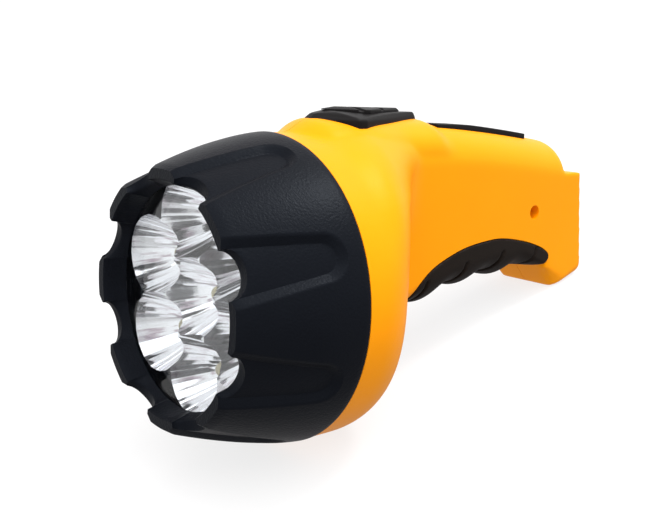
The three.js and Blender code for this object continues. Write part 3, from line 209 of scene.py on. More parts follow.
def shaped(ring, inset):
    """Fills a section out to the hood, and sets the back of the head off from a true round."""
    points = []
    hood_rear = HOOD_END + HOOD_LAG
    for x, y, z in ring:
        if HOOD_START < x < hood_rear and z > HOOD_FOOT:
            more = hood_half(x, z, inset) - abs(y)
            blend = soft((x - HOOD_START) / HOOD_BLEND) * soft((hood_rear - x) / HOOD_BLEND)
            more = (more + math.hypot(more, HOOD_EASE * blend * soft(abs(y) / HOOD_BLEND))) / 2
            y += math.copysign(more * soft((z - HOOD_FOOT) / (HOOD_FULL - HOOD_FOOT)), y)
        wave = math.cos(BACK_WAVES * math.atan2(-z, abs(y))) if z < 0 else 1 - soft(z / BACK_HEIGHT)
        fade = soft(x / HEAD_STRAIGHT) * (1 - soft((x - neck_start) / BACK_FADE))
        points.append((x - BACK_SHIFT * wave * fade, y, z))
    return points


def turns_of_quarter(steps):
    return [math.pi / 2 * i / steps for i in range(steps + 1)]


def drawn(name, corners, faces):
    """A new piece from its corners and faces."""
    mesh = bpy.data.meshes.new(name)
    mesh.from_pydata(corners, [], faces)
    piece = bpy.data.objects.new(name, mesh)
    bpy.context.collection.objects.link(piece)
    return piece


def choose(*pieces):
    bpy.ops.object.select_all(action="DESELECT")
    for piece in pieces:
        piece.select_set(True)
    bpy.context.view_layer.objects.active = pieces[0]


DOUBLES = 1e-4


def cleaned(piece):
    """Merges doubles and turns all faces outwards."""
    mesh = bmesh.new()
    mesh.from_mesh(piece.data)
    bmesh.ops.remove_doubles(mesh, verts=mesh.verts, dist=DOUBLES)
    bmesh.ops.dissolve_degenerate(mesh, edges=mesh.edges, dist=DOUBLES / 10)
    bmesh.ops.recalc_face_normals(mesh, faces=mesh.faces)
    mesh.to_mesh(piece.data)
    mesh.free()
    return piece


def lofted(name, rings):
    """A closed body through rings of equal length."""
    count = len(rings[0])
    corners = [point for ring in rings for point in ring]
    faces = []
    for i in range(len(rings) - 1):
        for j in range(count):
            k = (j + 1) % count
            faces.append((i * count + j, i * count + k, (i + 1) * count + k, (i + 1) * count + j))
    last = (len(rings) - 1) * count
    faces.append(tuple(range(count))[::-1])
    faces.append(tuple(last + j for j in range(count)))
    return cleaned(drawn(name, corners, faces))


def form(name, inset, front=0, stride=1.5, sag=None):
    """The housing's outer form, drawn in by inset. Its underside sags by a function of the place along X."""
    quarter = turns_of_quarter(26)
    places = {front, *FRONT_PLACES}
    places |= {HEAD_STRAIGHT + (SHOULDER_R - inset) * math.sin(a) for a in quarter}
    places |= {neck_end - (NECK_LENGTH + inset) * math.cos(a) for a in quarter}
    places |= {HANDLE_END - END_ROUND + (END_ROUND - inset) * math.sin(a) for a in quarter}
    x = neck_end
    while x < HANDLE_END - END_ROUND:
        places.add(x)
        x += stride
    rings = [shaped(oval(x, *section(x, inset), FORM_STEPS), inset) for x in sorted(places)]
    if sag:
        for i, ring in enumerate(rings):
            edge = arch(ring[0][0]) + BOTTOM_CAP
            rings[i] = [(x, y, z - sag(x) * min(max((edge - z) / BOTTOM_CAP, 0), 1)) for x, y, z in ring]
    return lofted(name, rings)


PAD_HEIGHT = 54.9
PAD_HALF = 19
PAD_REAR_HALF = 15.1
PAD_CENTRE = 31
PAD_NARROWING = 20
PAD_FRONT = 2.5
PAD_REAR = 70.5
PAD_RISE = 13.5
PAD_FALL = 8
PAD_START_HEIGHT = 49.4
PAD_END_HEIGHT = 52.2
PAD_CAP = 11
PAD_ROOT = 32
PAD_STEPS = 40
PAD_OVAL_STEPS = 24


def pad(name, inset):
    """The raised pad under the switch, drawn in by inset."""
    rings = []
    for i in range(PAD_STEPS + 1):
        x = PAD_FRONT + (PAD_REAR - PAD_FRONT) * i / PAD_STEPS
        rise = PAD_START_HEIGHT + (PAD_HEIGHT - PAD_START_HEIGHT) * soft((x - PAD_FRONT) / PAD_RISE)
        top = rise - (PAD_HEIGHT - PAD_END_HEIGHT) * (1 - soft((PAD_REAR - x) / PAD_FALL)) - inset
        widened = PAD_HALF * (1 - round_drop(PAD_CENTRE - x, PAD_CENTRE))
        half = widened - (PAD_HALF - PAD_REAR_HALF) * soft((x - PAD_CENTRE) / PAD_NARROWING) - inset
        cap = min(PAD_CAP, half)
        rings.append(oval(x, half, top, PAD_ROOT, cap, cap / 4, PAD_OVAL_STEPS))
    return lofted(name, rings)


TAIL_ROOT = 129.8
TAIL_TOP = 34.6
TAIL_TOP_REAR = 146.4
TAIL_BOTTOM_REAR = 151.8
FOOT_FRONT = 136
FOOT_DEPTH = 12.5
FOOT_FACE_DEPTH = 3.2
FOOT_ROUND = 4.6
FOOT_ROUND_LEAN = 1.5  # how far the rounding draws the foot's front back, as a share of its rise
FOOT_FACE_GROWTH = 1.3
TAIL_LAP = 2
foot_rear = -FOOT_DEPTH + (TAIL_BOTTOM_REAR - FOOT_FRONT) * math.tan(TILT)


def tail_outline(grow):
    """The tail block in the side view. Its foot lies flat on the floor once the torch is tipped."""
    return [
        (TAIL_ROOT, TAIL_TOP + grow),
        (TAIL_TOP_REAR + grow, TAIL_TOP + grow),
        (TAIL_BOTTOM_REAR + grow, foot_rear - grow),
        (FOOT_FRONT - grow, -FOOT_DEPTH - grow),
        (FOOT_FACE_TOP - FOOT_FACE_GROWTH * grow, -FOOT_FACE_DEPTH),
        (TAIL_ROOT, -FOOT_FACE_DEPTH + TAIL_LAP),
    ]


def tail_rings():
    """The tail block in outlines from side to side, with well rounded lower edges."""
    quarter = turns_of_quarter(8)
    flat = HANDLE_HALF - FOOT_ROUND
    rings = []
    for side, turns in ((-1, reversed(quarter)), (1, quarter)):
        for a in turns:
            rise = FOOT_ROUND * (1 - math.cos(a))
            y = side * (flat + FOOT_ROUND * math.sin(a))
            moves = ((0, 0), (0, 0), (0, rise), (FOOT_ROUND_LEAN * rise, rise), (0, 0), (0, 0))
            rings.append([(x + dx, y, z + dz) for (x, z), (dx, dz) in zip(tail_outline(0), moves)])
    return rings


GRIP_FRONT = 42
GRIP_REAR = 129.2
GRIP_CREST = 10.9
GRIP_TIP = -20
GRIP_SKIN = 2.3

# The grip's upper edge from front to rear, in shares of its length and height.
GRIP_EDGE = [
    (0, 0), (0.095, 0.37), (0.15, 0.57), (0.22, 0.73), (0.31, 0.845), (0.42, 0.94), (0.55, 0.992),
    (0.66, 1), (0.8, 0.94), (0.92, 0.845), (0.985, 0.755), (1, 0.685), (0.98, 0.6), (0.955, 0.56),
]  # fmt: skip


def through(points, steps):
    """A smooth line through points in a plane."""
    line = []
    for i in range(len(points) - 1):
        a, b, c, d = (Vector(points[min(max(i + k, 0), len(points) - 1)]) for k in (-1, 0, 1, 2))
        for step in range(steps):
            t = step / steps
            bend = (2 * a - 5 * b + 4 * c - d) * t**2 + (3 * b - a - 3 * c + d) * t**3
            line.append(0.5 * (2 * b + (c - a) * t + bend))
    return [*line, Vector(points[-1])]


def grip_outline(grow):
    """The grip's outline in the side view, left open far below the handle."""
    length = GRIP_REAR - GRIP_FRONT
    height = GRIP_CREST - GRIP_TIP
    line = through([(GRIP_FRONT + along * length, GRIP_TIP + up * height) for along, up in GRIP_EDGE], 4)
    tops = []
    for i, point in enumerate(line):
        along = (line[min(i + 1, len(line) - 1)] - line[max(i - 1, 0)]).normalized()
        tops.append((point.x - along.y * grow, point.y + along.x * grow))
    return [*tops, (tops[-1][0], GRIP_TIP - GRIP_CREST), (GRIP_FRONT - grow, GRIP_TIP - GRIP_CREST)]


STRIP_FRONT = 70
STRIP_HALF = 5.6
STRIP_SEAT = 1.6
STRIP_STEPS = 24
STRIP_STANDOFF = 6  # how far over the crest its bed is cut


def strip_bed(grow, height):
    """The strip's outline in the side view. Its height over the crest is a function of the place along X."""
    length = STRIP_REAR - STRIP_FRONT + 2 * grow
    places = [STRIP_FRONT - grow + length * i / STRIP_STEPS for i in range(STRIP_STEPS + 1)]
    under = [(x, crest(x) - STRIP_SEAT - grow) for x in places]
    return under + [(x, crest(x) + height(x)) for x in reversed(places)]


def slab(name, outline, y0, y1):
    """An outline in the side view, made thick from y0 to y1."""
    return lofted(name, [[(x, y, z) for x, z in outline] for y in (y0, y1)])


def boxed(name, middle, size):
    """A plain box."""
    x, y, z = middle
    dx, dy, dz = (length / 2 for length in size)
    outline = [(x - dx, z - dz), (x + dx, z - dz), (x + dx, z + dz), (x - dx, z + dz)]
    return slab(name, outline, y - dy, y + dy)


ROD_SIDES = 48


def rod(name, radius, y0, y1, x, z):
    """A round rod that lies across the torch."""
    turns = [2 * math.pi * i / ROD_SIDES for i in range(ROD_SIDES)]
    return slab(name, [(x + radius * math.cos(a), z + radius * math.sin(a)) for a in turns], y0, y1)


def turned(name, profile, sides, y=0, z=0):
    """A body of revolution about a line along X, from (place along X, radius) pairs."""
    turns = [2 * math.pi * i / sides for i in range(sides)]
    return lofted(name, [[(x, y + r * math.cos(a), z + r * math.sin(a)) for a in turns] for x, r in profile])


def changed(piece, kind, **settings):
    """Applies one modifier."""
    modifier = piece.modifiers.new(kind, kind)
    for key, value in settings.items():
        setattr(modifier, key, value)
    choose(piece)
    bpy.ops.object.modifier_apply(modifier=modifier.name)
    return piece


def merged(*pieces):
    """Joins pieces into the first."""
    choose(*pieces)
    bpy.ops.object.join()
    return pieces[0]


def cut(piece, *cutters, way="DIFFERENCE", solver="MANIFOLD"):
    """Cuts solids out of a piece, or joins or meets them with it, and removes them."""
    for cutter in cutters:
        changed(piece, "BOOLEAN", object=cutter, operation=way, solver=solver)
        bpy.data.objects.remove(cutter)
    return piece


NEAR_DOUBLES = 0.003


def trued(piece):
    """Merges what a cut leaves almost touching, and drops thin faces that lie back to back."""
    mesh = bmesh.new()
    mesh.from_mesh(piece.data)
    bmesh.ops.triangulate(mesh, faces=mesh.faces)
    bmesh.ops.remove_doubles(mesh, verts=mesh.verts, dist=NEAR_DOUBLES)
    stacks = {}
    for face in mesh.faces:
        stacks.setdefault(frozenset(vert.index for vert in face.verts), []).append(face)
    stacked = [face for stack in stacks.values() if len(stack) > 1 for face in stack]
    bmesh.ops.delete(mesh, geom=stacked, context="FACES")
    mesh.to_mesh(piece.data)
    mesh.free()
    return piece


def moulded(piece, voxel, passes):
    """Fuses a piece into one skin and eases its edges, as a mould does."""
    changed(piece, "REMESH", mode="VOXEL", voxel_size=voxel, use_smooth_shade=True)
    return changed(piece, "SMOOTH", factor=0.5, iterations=passes)


def shaded(piece, degrees=35):
    choose(piece)
    bpy.ops.object.shade_smooth_by_angle(angle=math.radians(degrees))
    return piece


SWITCH_X = 40
STEM_LENGTH = 6
STEM_WIDTH = 5.6
KNOB_TRAVEL = 3
STRAP = (117.7, 19.8)
STRAP_R = 2.75
SCREWS = ((12, 37.5), (12, -37.5), (91.8, 24), (141.4, 27.6), (143.8, -4.2))
SCREW_SEAT = 6.075
SCREW_RECESS_R = 3
SCREW_PILOT_R = 1.45
SCREW_REACH = 5.4
PLUG_X = 125.5
PLUG_Z = 10
PLUG_TRAVEL = 17
BLADE_SPREAD = 12.7
BLADE_THICK = 1.5
BLADE_WIDTH = 6.3
TAB_LENGTH = 5
TAB_HEIGHT = 3
INDICATOR_R = 1.5
INDICATOR_Z = 20
COLLAR_R = 44.6
COLLAR_LENGTH = 12.5
HOUSING_VOXEL = 0.8
HOUSING_PASSES = 8
HOUSING_FRONT = -8  # it is cut back to 0 once its skin is fused
BEYOND = 40  # half the width of what cuts right across the handle
OUTSIDE = 60  # beyond the right side
INTO_SEAT = 7
WINDOW_FLOOR = 52.5
WINDOW_DEPTH = 7
TAB_FLOOR = 12
TAB_DEPTH = 5
SLOT_FLOOR = 147
SLOT_DEPTH = 6
LAMP_FLOOR = 144.5
LAMP_DEPTH = 15.5
FLOOR_CATCH = 0.4  # thickness of the box that finds a pocket's floor

housing = form("housing", 0, front=HOUSING_FRONT)
tail = lofted("tail", tail_rings())
merged(housing, tail, pad("pad", 0))
moulded(housing, HOUSING_VOXEL, HOUSING_PASSES)

recess = slab("recess", grip_outline(0), -BEYOND, BEYOND)
cut(recess, form("core", GRIP_SKIN))
bed_half = STRIP_HALF + SEAT_GAP
bed = slab("bed", strip_bed(SEAT_GAP, lambda x: STRIP_STANDOFF), -bed_half, bed_half)
cut(housing, recess, bed, rod("strap", STRAP_R, -BEYOND, BEYOND, *STRAP))
for x, z in SCREWS:
    cut(housing, rod("seat", SCREW_RECESS_R, SCREW_SEAT, OUTSIDE, x, z))
    cut(housing, rod("pilot", SCREW_PILOT_R, -SCREW_REACH, INTO_SEAT, x, z))

# Openings right through the skin, for the switch's stem, the plug's thumb tab, its two blades and the charge
# lamp. Each is cut as a pocket, and the faces of its floor, found by a box, are then left out.
stem_run = STEM_LENGTH + 2 * KNOB_TRAVEL + 2 * RUN_GAP
stem_gap = STEM_WIDTH + 2 * RUN_GAP
tab_x = PLUG_X + PLUG_TRAVEL / 2
tab_run = TAB_LENGTH + PLUG_TRAVEL + 2 * RUN_GAP
slot_size = (SLOT_DEPTH, BLADE_THICK + 2 * RUN_GAP, BLADE_WIDTH + 2 * RUN_GAP)
window_middle = (SWITCH_X, 0, WINDOW_FLOOR + WINDOW_DEPTH / 2)
cut(housing, boxed("window", window_middle, (stem_run, stem_gap, WINDOW_DEPTH)))
tab_middle = (tab_x, TAB_FLOOR + TAB_DEPTH / 2, PLUG_Z)
cut(housing, boxed("tab", tab_middle, (tab_run, TAB_DEPTH, TAB_HEIGHT + 2 * RUN_GAP)))
floors = [
    ((SWITCH_X, 0, WINDOW_FLOOR), (20, 10, FLOOR_CATCH)),
    ((tab_x, TAB_FLOOR, PLUG_Z), (30, FLOOR_CATCH, 6)),
    ((LAMP_FLOOR, 0, INDICATOR_Z), (FLOOR_CATCH, 4, 4)),
]
for y in (-BLADE_SPREAD / 2, BLADE_SPREAD / 2):
    cut(housing, boxed("slot", (SLOT_FLOOR + SLOT_DEPTH / 2, y, PLUG_Z), slot_size))
    floors.append(((SLOT_FLOOR, y, PLUG_Z), (FLOOR_CATCH, 4, 10)))
lamp_line = [(LAMP_FLOOR, INDICATOR_R + SEAT_GAP), (LAMP_FLOOR + LAMP_DEPTH, INDICATOR_R + SEAT_GAP)]
cut(housing, turned("lamp", lamp_line, 32, z=INDICATOR_Z))


def within(point, middle, size):
    return all(abs(a - b) <= length / 2 for a, b, length in zip(point, middle, size))


def opened(mesh, places):
    """Deletes the faces whose middles lie in any of some boxes."""
    middles = {face: face.calc_center_median() for face in mesh.faces}
    found = [face for face, middle in middles.items() if any(within(middle, *place) for place in places)]
    bmesh.ops.delete(mesh, geom=found, context="FACES")


def trimmed(mesh, place, outwards):
    """Cuts away what lies beyond a plane."""
    everything = mesh.verts[:] + mesh.edges[:] + mesh.faces[:]
    bmesh.ops.bisect_plane(mesh, geom=everything, plane_co=place, plane_no=outwards, clear_outer=True)


mesh = bmesh.new()
mesh.from_mesh(housing.data)
opened(mesh, floors)
trimmed(mesh, (0, 0, 0), (-1, 0, 0))
mouth = [edge for edge in mesh.edges if edge.is_boundary and all(abs(v.co.x) < 1e-3 for v in edge.verts)]
for radius, x in ((COLLAR_R, 0), (COLLAR_R, -COLLAR_LENGTH)):
    grown = bmesh.ops.extrude_edge_only(mesh, edges=mouth)["geom"]
    mouth = [item for item in grown if isinstance(item, bmesh.types.BMEdge)]
    for vert in {v for edge in mouth for v in edge.verts}:
        out = Vector((0, vert.co.y, vert.co.z)).normalized()
        vert.co = Vector((x, out.y * radius, out.z * radius))
bmesh.ops.recalc_face_normals(mesh, faces=mesh.faces)
mesh.to_mesh(housing.data)
mesh.free()


def dressed(piece, body, finish, node):
    """Gives a piece its finish, hangs it on the body it rides on, and hides the node it stands for."""
    piece.data.materials.clear()
    piece.data.materials.append(finish)
    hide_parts(node)
    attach(piece, body)


def fitted(piece, body, finish, node):
    """Tips a finished piece into its place, and dresses it."""
    piece.data.transform(seat)
    dressed(piece, body, finish, node)


class Wire:
    """One value between nodes, which adds and scales like a number."""

    def __init__(self, nodes, socket):
        self.nodes = nodes
        self.socket = socket

    def math(self, operation, *values):
        return self.nodes.node("ShaderNodeMath", {"operation": operation}, dict(enumerate(values)))

    def __add__(self, other):
        return self.math("ADD", self, other)

    def __mul__(self, other):
        return self.math("MULTIPLY", self, other)

    __radd__ = __add__
    __rmul__ = __mul__


class Nodes:
    """The nodes of a material or of the studio's light."""

    def __init__(self, owner):
        owner.use_nodes = True
        self.tree = owner.node_tree

    def node(self, kind, settings, values, output=0):
        """A new node of a kind, with its settings and the values or links of its sockets."""
        new = self.tree.nodes.new(kind)
        for key, value in settings.items():
            if key == "stops":
                for place, colour in value[2:]:
                    new.color_ramp.elements.new(place)
                for stop, (place, colour) in zip(new.color_ramp.elements, value):
                    stop.position = place
                    stop.color = colour
            else:
                setattr(new, key, value)
        for key, value in values.items():
            if isinstance(value, Wire):
                self.tree.links.new(value.socket, new.inputs[key])
            else:
                new.inputs[key].default_value = value
        return Wire(self, new.outputs[output])


class Finish(Nodes):
    """A material round one Principled shader."""

    def __init__(self, name, **sockets):
        self.material = bpy.data.materials.new(name)
        super().__init__(self.material)
        self.shader = self.tree.nodes["Principled BSDF"]
        for socket, value in sockets.items():
            self.shader.inputs[socket.replace("_", " ")].default_value = value
        self.place = self.node("ShaderNodeTexCoord", {}, {}, "Object")

    def feed(self, socket, value):
        self.tree.links.new(value.socket, self.shader.inputs[socket])

    def noise(self, scale, detail, roughness):
        values = {"Vector": self.place, "Scale": scale, "Detail": detail, "Roughness": roughness}
        return self.node("ShaderNodeTexNoise", {}, values, "Fac")

    def between(self, share, first, second):
        """Two colours mixed. The mix node's colours are its inputs 6 and 7 and its output 2."""
        return self.node("ShaderNodeMix", {"data_type": "RGBA"}, {0: share, 6: first, 7: second}, 2)

    def texture(self, height, strength, depth):
        """Bump of a depth in metres."""
        values = {"Strength": strength, "Distance": depth, "Height": height}
        self.feed("Normal", self.node("ShaderNodeBump", {}, values))


def tone(red, green, blue):
    """A colour from its 0-255 screen values."""
    shares = (value / 255 for value in (red, green, blue))
    return (*(s / 12.92 if s <= 0.04045 else ((s + 0.055) / 1.055) ** 2.4 for s in shares), 1)


def moulded_plastic(name, colour, deeper, rough, grain, depth, **sockets):
    """Moulded plastic: a slightly uneven colour, uneven gloss and a fine grain."""
    finish = Finish(name, **sockets)
    clouds = finish.noise(35, 3, 0.6)
    finish.feed("Base Color", finish.between(clouds, deeper, colour))
    grains = finish.noise(grain, 2, 0.55)
    finish.feed("Roughness", clouds * 0.08 + grains * 0.06 + (rough - 0.07))
    finish.texture(grains, 0.6, depth)
    return finish.material


yellow = moulded_plastic(
    "yellow_plastic", tone(250, 156, 5), tone(247, 150, 3), 0.4, 2600, 0.00006,
    Specular_IOR_Level=0.15, Specular_Tint=(1, 0.75, 0.25, 1),
)  # fmt: skip


def shell(name, side):
    """Half of the housing with its wall. The ends of the screws' pilots would hang loose in the left one."""
    piece = drawn(name, [], [])
    piece.data = housing.data.copy()
    mesh = bmesh.new()
    mesh.from_mesh(piece.data)
    trimmed(mesh, (0, side * SPLIT, 0), (0, -side, 0))
    if side < 0:
        opened(mesh, [((x, -SCREW_REACH / 2, z), (4, SCREW_REACH + 1, 4)) for x, z in SCREWS])
    mesh.to_mesh(piece.data)
    mesh.free()
    changed(piece, "SOLIDIFY", thickness=SKIN, offset=-1, use_rim=True)
    return shaded(trued(piece))


fitted(shell("shell_left", -1), "housing", yellow, "body_left")
fitted(shell("shell_right", 1), "housing", yellow, "body_right")
bpy.data.objects.remove(housing)


# Finger grip. A soft black rubber skin let into the underside of the handle, which swells between four
# slanting grooves, one for each finger.
GRIP_PROUD = 0.5
GRIP_LEAST = 0.1
GRIP_SWELL = 3
GRIP_LOW = 0.82  # place of the shallowest point between two grooves
GRIP_SWELL_END = 118
GRIP_SWELL_EASE = 14
GRIP_VOXEL = 0.5
GRIP_PASSES = 4
GRIP_PITCH = 20.4
FIRST_GROOVE = 56.5
GROOVE_WIDTH = 1.5
GROOVE_LEAN = 0.32
GROOVE_FLOOR = 0.8
GROOVE_TOP = 9
GROOVE_COUNT = 4
GROOVE_TALL = 40

rubber = moulded_plastic(
    "grip_rubber", tone(30, 24, 20), tone(23, 18, 14), 0.6, 1800, 0.00012, Specular_IOR_Level=0.1,
)  # fmt: skip


def swell(x):
    """How far the underside swells at a place: most near the rear of each finger's pad."""
    wave = (1 - math.cos(2 * math.pi * ((x - FIRST_GROOVE) / GRIP_PITCH - GRIP_LOW))) / 2
    ends = soft((GRIP_SWELL_END - x) / GRIP_SWELL_EASE) * soft((x - GRIP_FRONT) / GRIP_SWELL_EASE)
    return GRIP_LEAST + GRIP_SWELL * wave * ends


grip = form("grip", -GRIP_PROUD, stride=0.7, sag=swell)
cut(grip, slab("edge", grip_outline(-SEAT_GAP), -BEYOND, BEYOND), way="INTERSECT")
cut(grip, form("core", GRIP_SKIN - SEAT_GAP), slab("tail", tail_outline(SEAT_GAP), -BEYOND, BEYOND))
cut(grip, boxed("head", (GRIP_FRONT + SEAT_GAP - HEAD_R, 0, 0), (2 * HEAD_R, 4 * HEAD_R, 4 * HEAD_R)))
for i in range(GROOVE_COUNT):
    x = FIRST_GROOVE + i * GRIP_PITCH
    groove = boxed("groove", (0, 0, GROOVE_TOP - GROOVE_TALL / 2), (GROOVE_WIDTH, 2 * HEAD_R, GROOVE_TALL))
    groove.data.transform(Matrix.Translation((x, 0, arch(x))) @ Matrix.Rotation(GROOVE_LEAN, 4, "Y"))
    cut(groove, form("core", GROOVE_FLOOR))
    cut(grip, groove)
moulded(grip, GRIP_VOXEL, GRIP_PASSES)
fitted(shaded(grip, 50), "housing", rubber, "finger_grip")


# Bezel. Black ABS with a fine texture: a bell that narrows to the front, with eight flutes down its side,
# each ending in a scallop of the front edge. Its bore seats on the housing's collar.
BEZEL_R = 50.3
BEZEL_TAPER = 10.22
BEZEL_LENGTH = 39.5
BEZEL_POWER = 1.4
BEZEL_RIM_R = 36.4
BEZEL_LIP_R = 34.4
BEZEL_BORE_R = 39
BEZEL_SEAT_R = 44.9
BEZEL_SHOULDER = -32.3
BEZEL_STEP = -12.8
BEZEL_REAR = -0.3
BEZEL_COUNT = 8
CHAMFER_LENGTH = 1.7
CHAMFER_DEPTH = 1.1
CHAMFER_LEAST = 0.2  # share of it that is left round the scallops
REAR_EDGE = 0.5
REAR_EASE = 0.15
NOTCH_DEPTH = 5
FLUTE_DEPTH = 2
FLUTE_END = -7.5
FLUTE_REAR_HALF = 5.8
FLUTE_FRONT_HALF = 8.9
FLUTE_WALL = 2.4
FLUTE_LEAST = 0.02
flute_centre = FLUTE_END - FLUTE_REAR_HALF
sector = math.pi / BEZEL_COUNT


def bezel_radius(x):
    """Radius of the bezel's side between its flutes."""
    return BEZEL_R - BEZEL_TAPER * max(-x / BEZEL_LENGTH, 0) ** BEZEL_POWER


def flute_line(x, out):
    """Half the width of a flute at a place along X, at a distance outside its middle line."""
    if x > flute_centre:
        return math.sqrt(max((FLUTE_REAR_HALF + out) ** 2 - (x - flute_centre) ** 2, 0))
    share = (flute_centre - x) / (BEZEL_LENGTH + flute_centre)
    return FLUTE_REAR_HALF + (FLUTE_FRONT_HALF - FLUTE_REAR_HALF) * share + out


def flute(x, y):
    """How deep the side is at a place, from the middle of a flute."""
    if x > flute_centre:
        outside = math.hypot(x - flute_centre, y) - FLUTE_REAR_HALF
    else:
        outside = abs(y) - flute_line(x, 0)
    return FLUTE_DEPTH * min(max(0.5 - outside / FLUTE_WALL, 0), 1)


INNER, WALL, OUTER = 20, 5, 14  # columns on a flute's floor, on its wall and beside it, on either hand


def turn_at(x, column):
    """The turn of a column at a place along X. Columns keep to the edges of the flute's walls."""
    floor_edge = max(flute_line(x, -FLUTE_WALL / 2), FLUTE_LEAST)
    wall_edge = max(flute_line(x, FLUTE_WALL / 2), floor_edge + FLUTE_LEAST)
    count = abs(column)
    inner, outer = (math.asin(edge / bezel_radius(x)) for edge in (floor_edge, wall_edge))
    if count <= INNER:
        turn = inner * math.sin(math.pi / 2 * count / INNER)
    elif count <= INNER + WALL:
        turn = inner + (outer - inner) * (count - INNER) / WALL
    else:
        turn = outer + (sector - outer) * (count - INNER - WALL) / OUTER
    return math.copysign(turn, column)


REAR_PLACES = (-0.8, -2.4, -4.4)
FLUTE_STEPS = 16


def bezel_places():
    """Places along X, close together round the ends of the flutes."""
    places = set(REAR_PLACES)
    for out in (-FLUTE_WALL / 2, FLUTE_WALL / 2):
        places |= {flute_centre + (FLUTE_REAR_HALF + out) * math.cos(a) for a in turns_of_quarter(14)}
    length = BEZEL_LENGTH + flute_centre - CHAMFER_LENGTH
    places |= {flute_centre - length * i / FLUTE_STEPS for i in range(1, FLUTE_STEPS + 1)}
    return sorted(places, reverse=True)


def bezel_column(column):
    """The bezel's section as (x, radius, turn), from its seat round its outside to its bore."""
    front_turn = turn_at(-BEZEL_LENGTH, column)
    across = min(abs(column) / INNER, 1)
    notch = NOTCH_DEPTH * math.cos(math.pi / 2 * across)
    chamfer = CHAMFER_LEAST + (1 - CHAMFER_LEAST) * min(max((abs(column) - INNER) / WALL, 0), 1)
    front = -BEZEL_LENGTH + notch
    places = bezel_places()
    start = places[0]
    rear_turn = turn_at(start, column)
    line = [
        (BEZEL_STEP, BEZEL_SEAT_R, rear_turn),
        (BEZEL_REAR, BEZEL_SEAT_R, rear_turn),
        (BEZEL_REAR, BEZEL_R - REAR_EDGE, rear_turn),
        (BEZEL_REAR - REAR_EASE, BEZEL_R - REAR_EASE, rear_turn),
    ]
    for place in places:
        turn = turn_at(place, column)
        past = min((place - flute_centre) / (places[-1] - flute_centre), 1) if place < flute_centre else 0
        x = place + past * (front + chamfer * CHAMFER_LENGTH - places[-1])
        line.append((x, bezel_radius(x) - flute(place, bezel_radius(place) * math.sin(turn)), turn))
    end, edge, _ = line[-1]
    line.append((front, edge - CHAMFER_DEPTH * chamfer, front_turn))
    rim = line[-1][1]
    for t in (0.3, 0.7, 0.95):
        line.append((front, rim + (BEZEL_RIM_R - rim) * t, front_turn))
    for t in (0.04, 0.3, 0.65, 0.95, 1):
        radius = BEZEL_RIM_R + (BEZEL_LIP_R - BEZEL_RIM_R) * t
        line.append((front + (BEZEL_SHOULDER - front) * t, radius, front_turn))
    return [*line, (BEZEL_SHOULDER, BEZEL_BORE_R, front_turn), (BEZEL_STEP, BEZEL_BORE_R, rear_turn)]


def bezel_piece():
    """The bezel's columns side by side all the way round, joined up by faces."""
    half = INNER + WALL + OUTER
    rings = []
    for i in range(BEZEL_COUNT):
        middle = (2 * i + 1) * sector
        for column in range(-half, half):
            line = [(x, r, middle + turn) for x, r, turn in bezel_column(column)]
            rings.append([(x, r * math.sin(a), r * math.cos(a)) for x, r, a in line])
    count = len(rings[0])
    corners = [point for ring in rings for point in ring]
    faces = []
    for i in range(len(rings)):
        for j in range(count):
            a, b = i * count, (i + 1) % len(rings) * count
            k = (j + 1) % count
            faces.append((a + j, a + k, b + k, b + j))
    return cleaned(drawn("bezel_ring", corners, faces))


charcoal = moulded_plastic(
    "black_plastic", tone(16, 18, 23), tone(11, 13, 18), 0.4, 1300, 0.0002,
    Specular_IOR_Level=0.07, Specular_Tint=(0.75, 0.86, 1, 1),
)  # fmt: skip
fitted(shaded(bezel_piece(), 40), "housing", charcoal, "bezel")


# Reflector. One moulding of seven overlapping cups with many narrow facets each, plated bright on the
# front. The cups open onto the LEDs, and the skirt sits in the bezel's bore.
CUP_TURN = -0.123
CUP_PITCH = 24.01
CUP_R = 13.39
CUP_FLOOR_R = 3.1
CUP_POWER = 0.59
CUP_FACETS = 96
CUP_UNEVEN = 0.004  # how far its facets stand in and out
CUP_STEPS = 9
REFLECTOR_FRONT = -29.7
REFLECTOR_BACK = -12.8
CUP_FLOOR = -13.4
REFLECTOR_R = 38.7
REFLECTOR_WALL = 1.3
POST_R = 2.2
POST_PLACE = 33.4
POST_SIDES = 24
PILOT_TOP = -24
ROUND_SIDES = 128
SKIRT_LAP = 0.1
CUP_LAP = 0.2
REAR_LAP = 0.15
CUP_OPENING = 3  # how far a cup's hollow starts in front of the reflector


def ringed(count, first, radius):
    """Places on a ring round the beam."""
    turns = [CUP_TURN + first + i * 2 * math.pi / count for i in range(count)]
    return [(radius * math.cos(a), radius * math.sin(a)) for a in turns]


cups = [(0, 0), *ringed(6, math.pi / 2, CUP_PITCH)]
posts = ringed(3, 0, POST_PLACE)


def cup(name, grow, front, end, y, z, uneven=0):
    """A cup as a solid. Its facets lean a little in and out, so that each catches another light."""
    line = [(front, CUP_R + grow)]
    for i in range(CUP_STEPS + 1):
        t = i / CUP_STEPS
        x = REFLECTOR_FRONT + (CUP_FLOOR - REFLECTOR_FRONT) * t
        line.append((x, CUP_FLOOR_R + (CUP_R - CUP_FLOOR_R) * (1 - t) ** CUP_POWER + grow))
    rays = []
    for i in range(CUP_FACETS):
        a = 2 * math.pi * (i + 0.5) / CUP_FACETS
        lean = math.sin(i * 2.4 + y * 1.7 + z * 0.9) + math.sin(i * 1.1 + y) + math.sin(i * 0.37 + z)
        rays.append((math.cos(a), math.sin(a), 1 + uneven * lean))
    line.append((end, CUP_FLOOR_R + grow))
    return lofted(name, [[(x, y + k * r * dy, z + k * r * dz) for dy, dz, k in rays] for x, r in line])


def cylinder(name, radius, x0, x1, sides=ROUND_SIDES, y=0, z=0):
    """A cylinder along X."""
    return turned(name, [(x0, radius), (x1, radius)], sides, y, z)


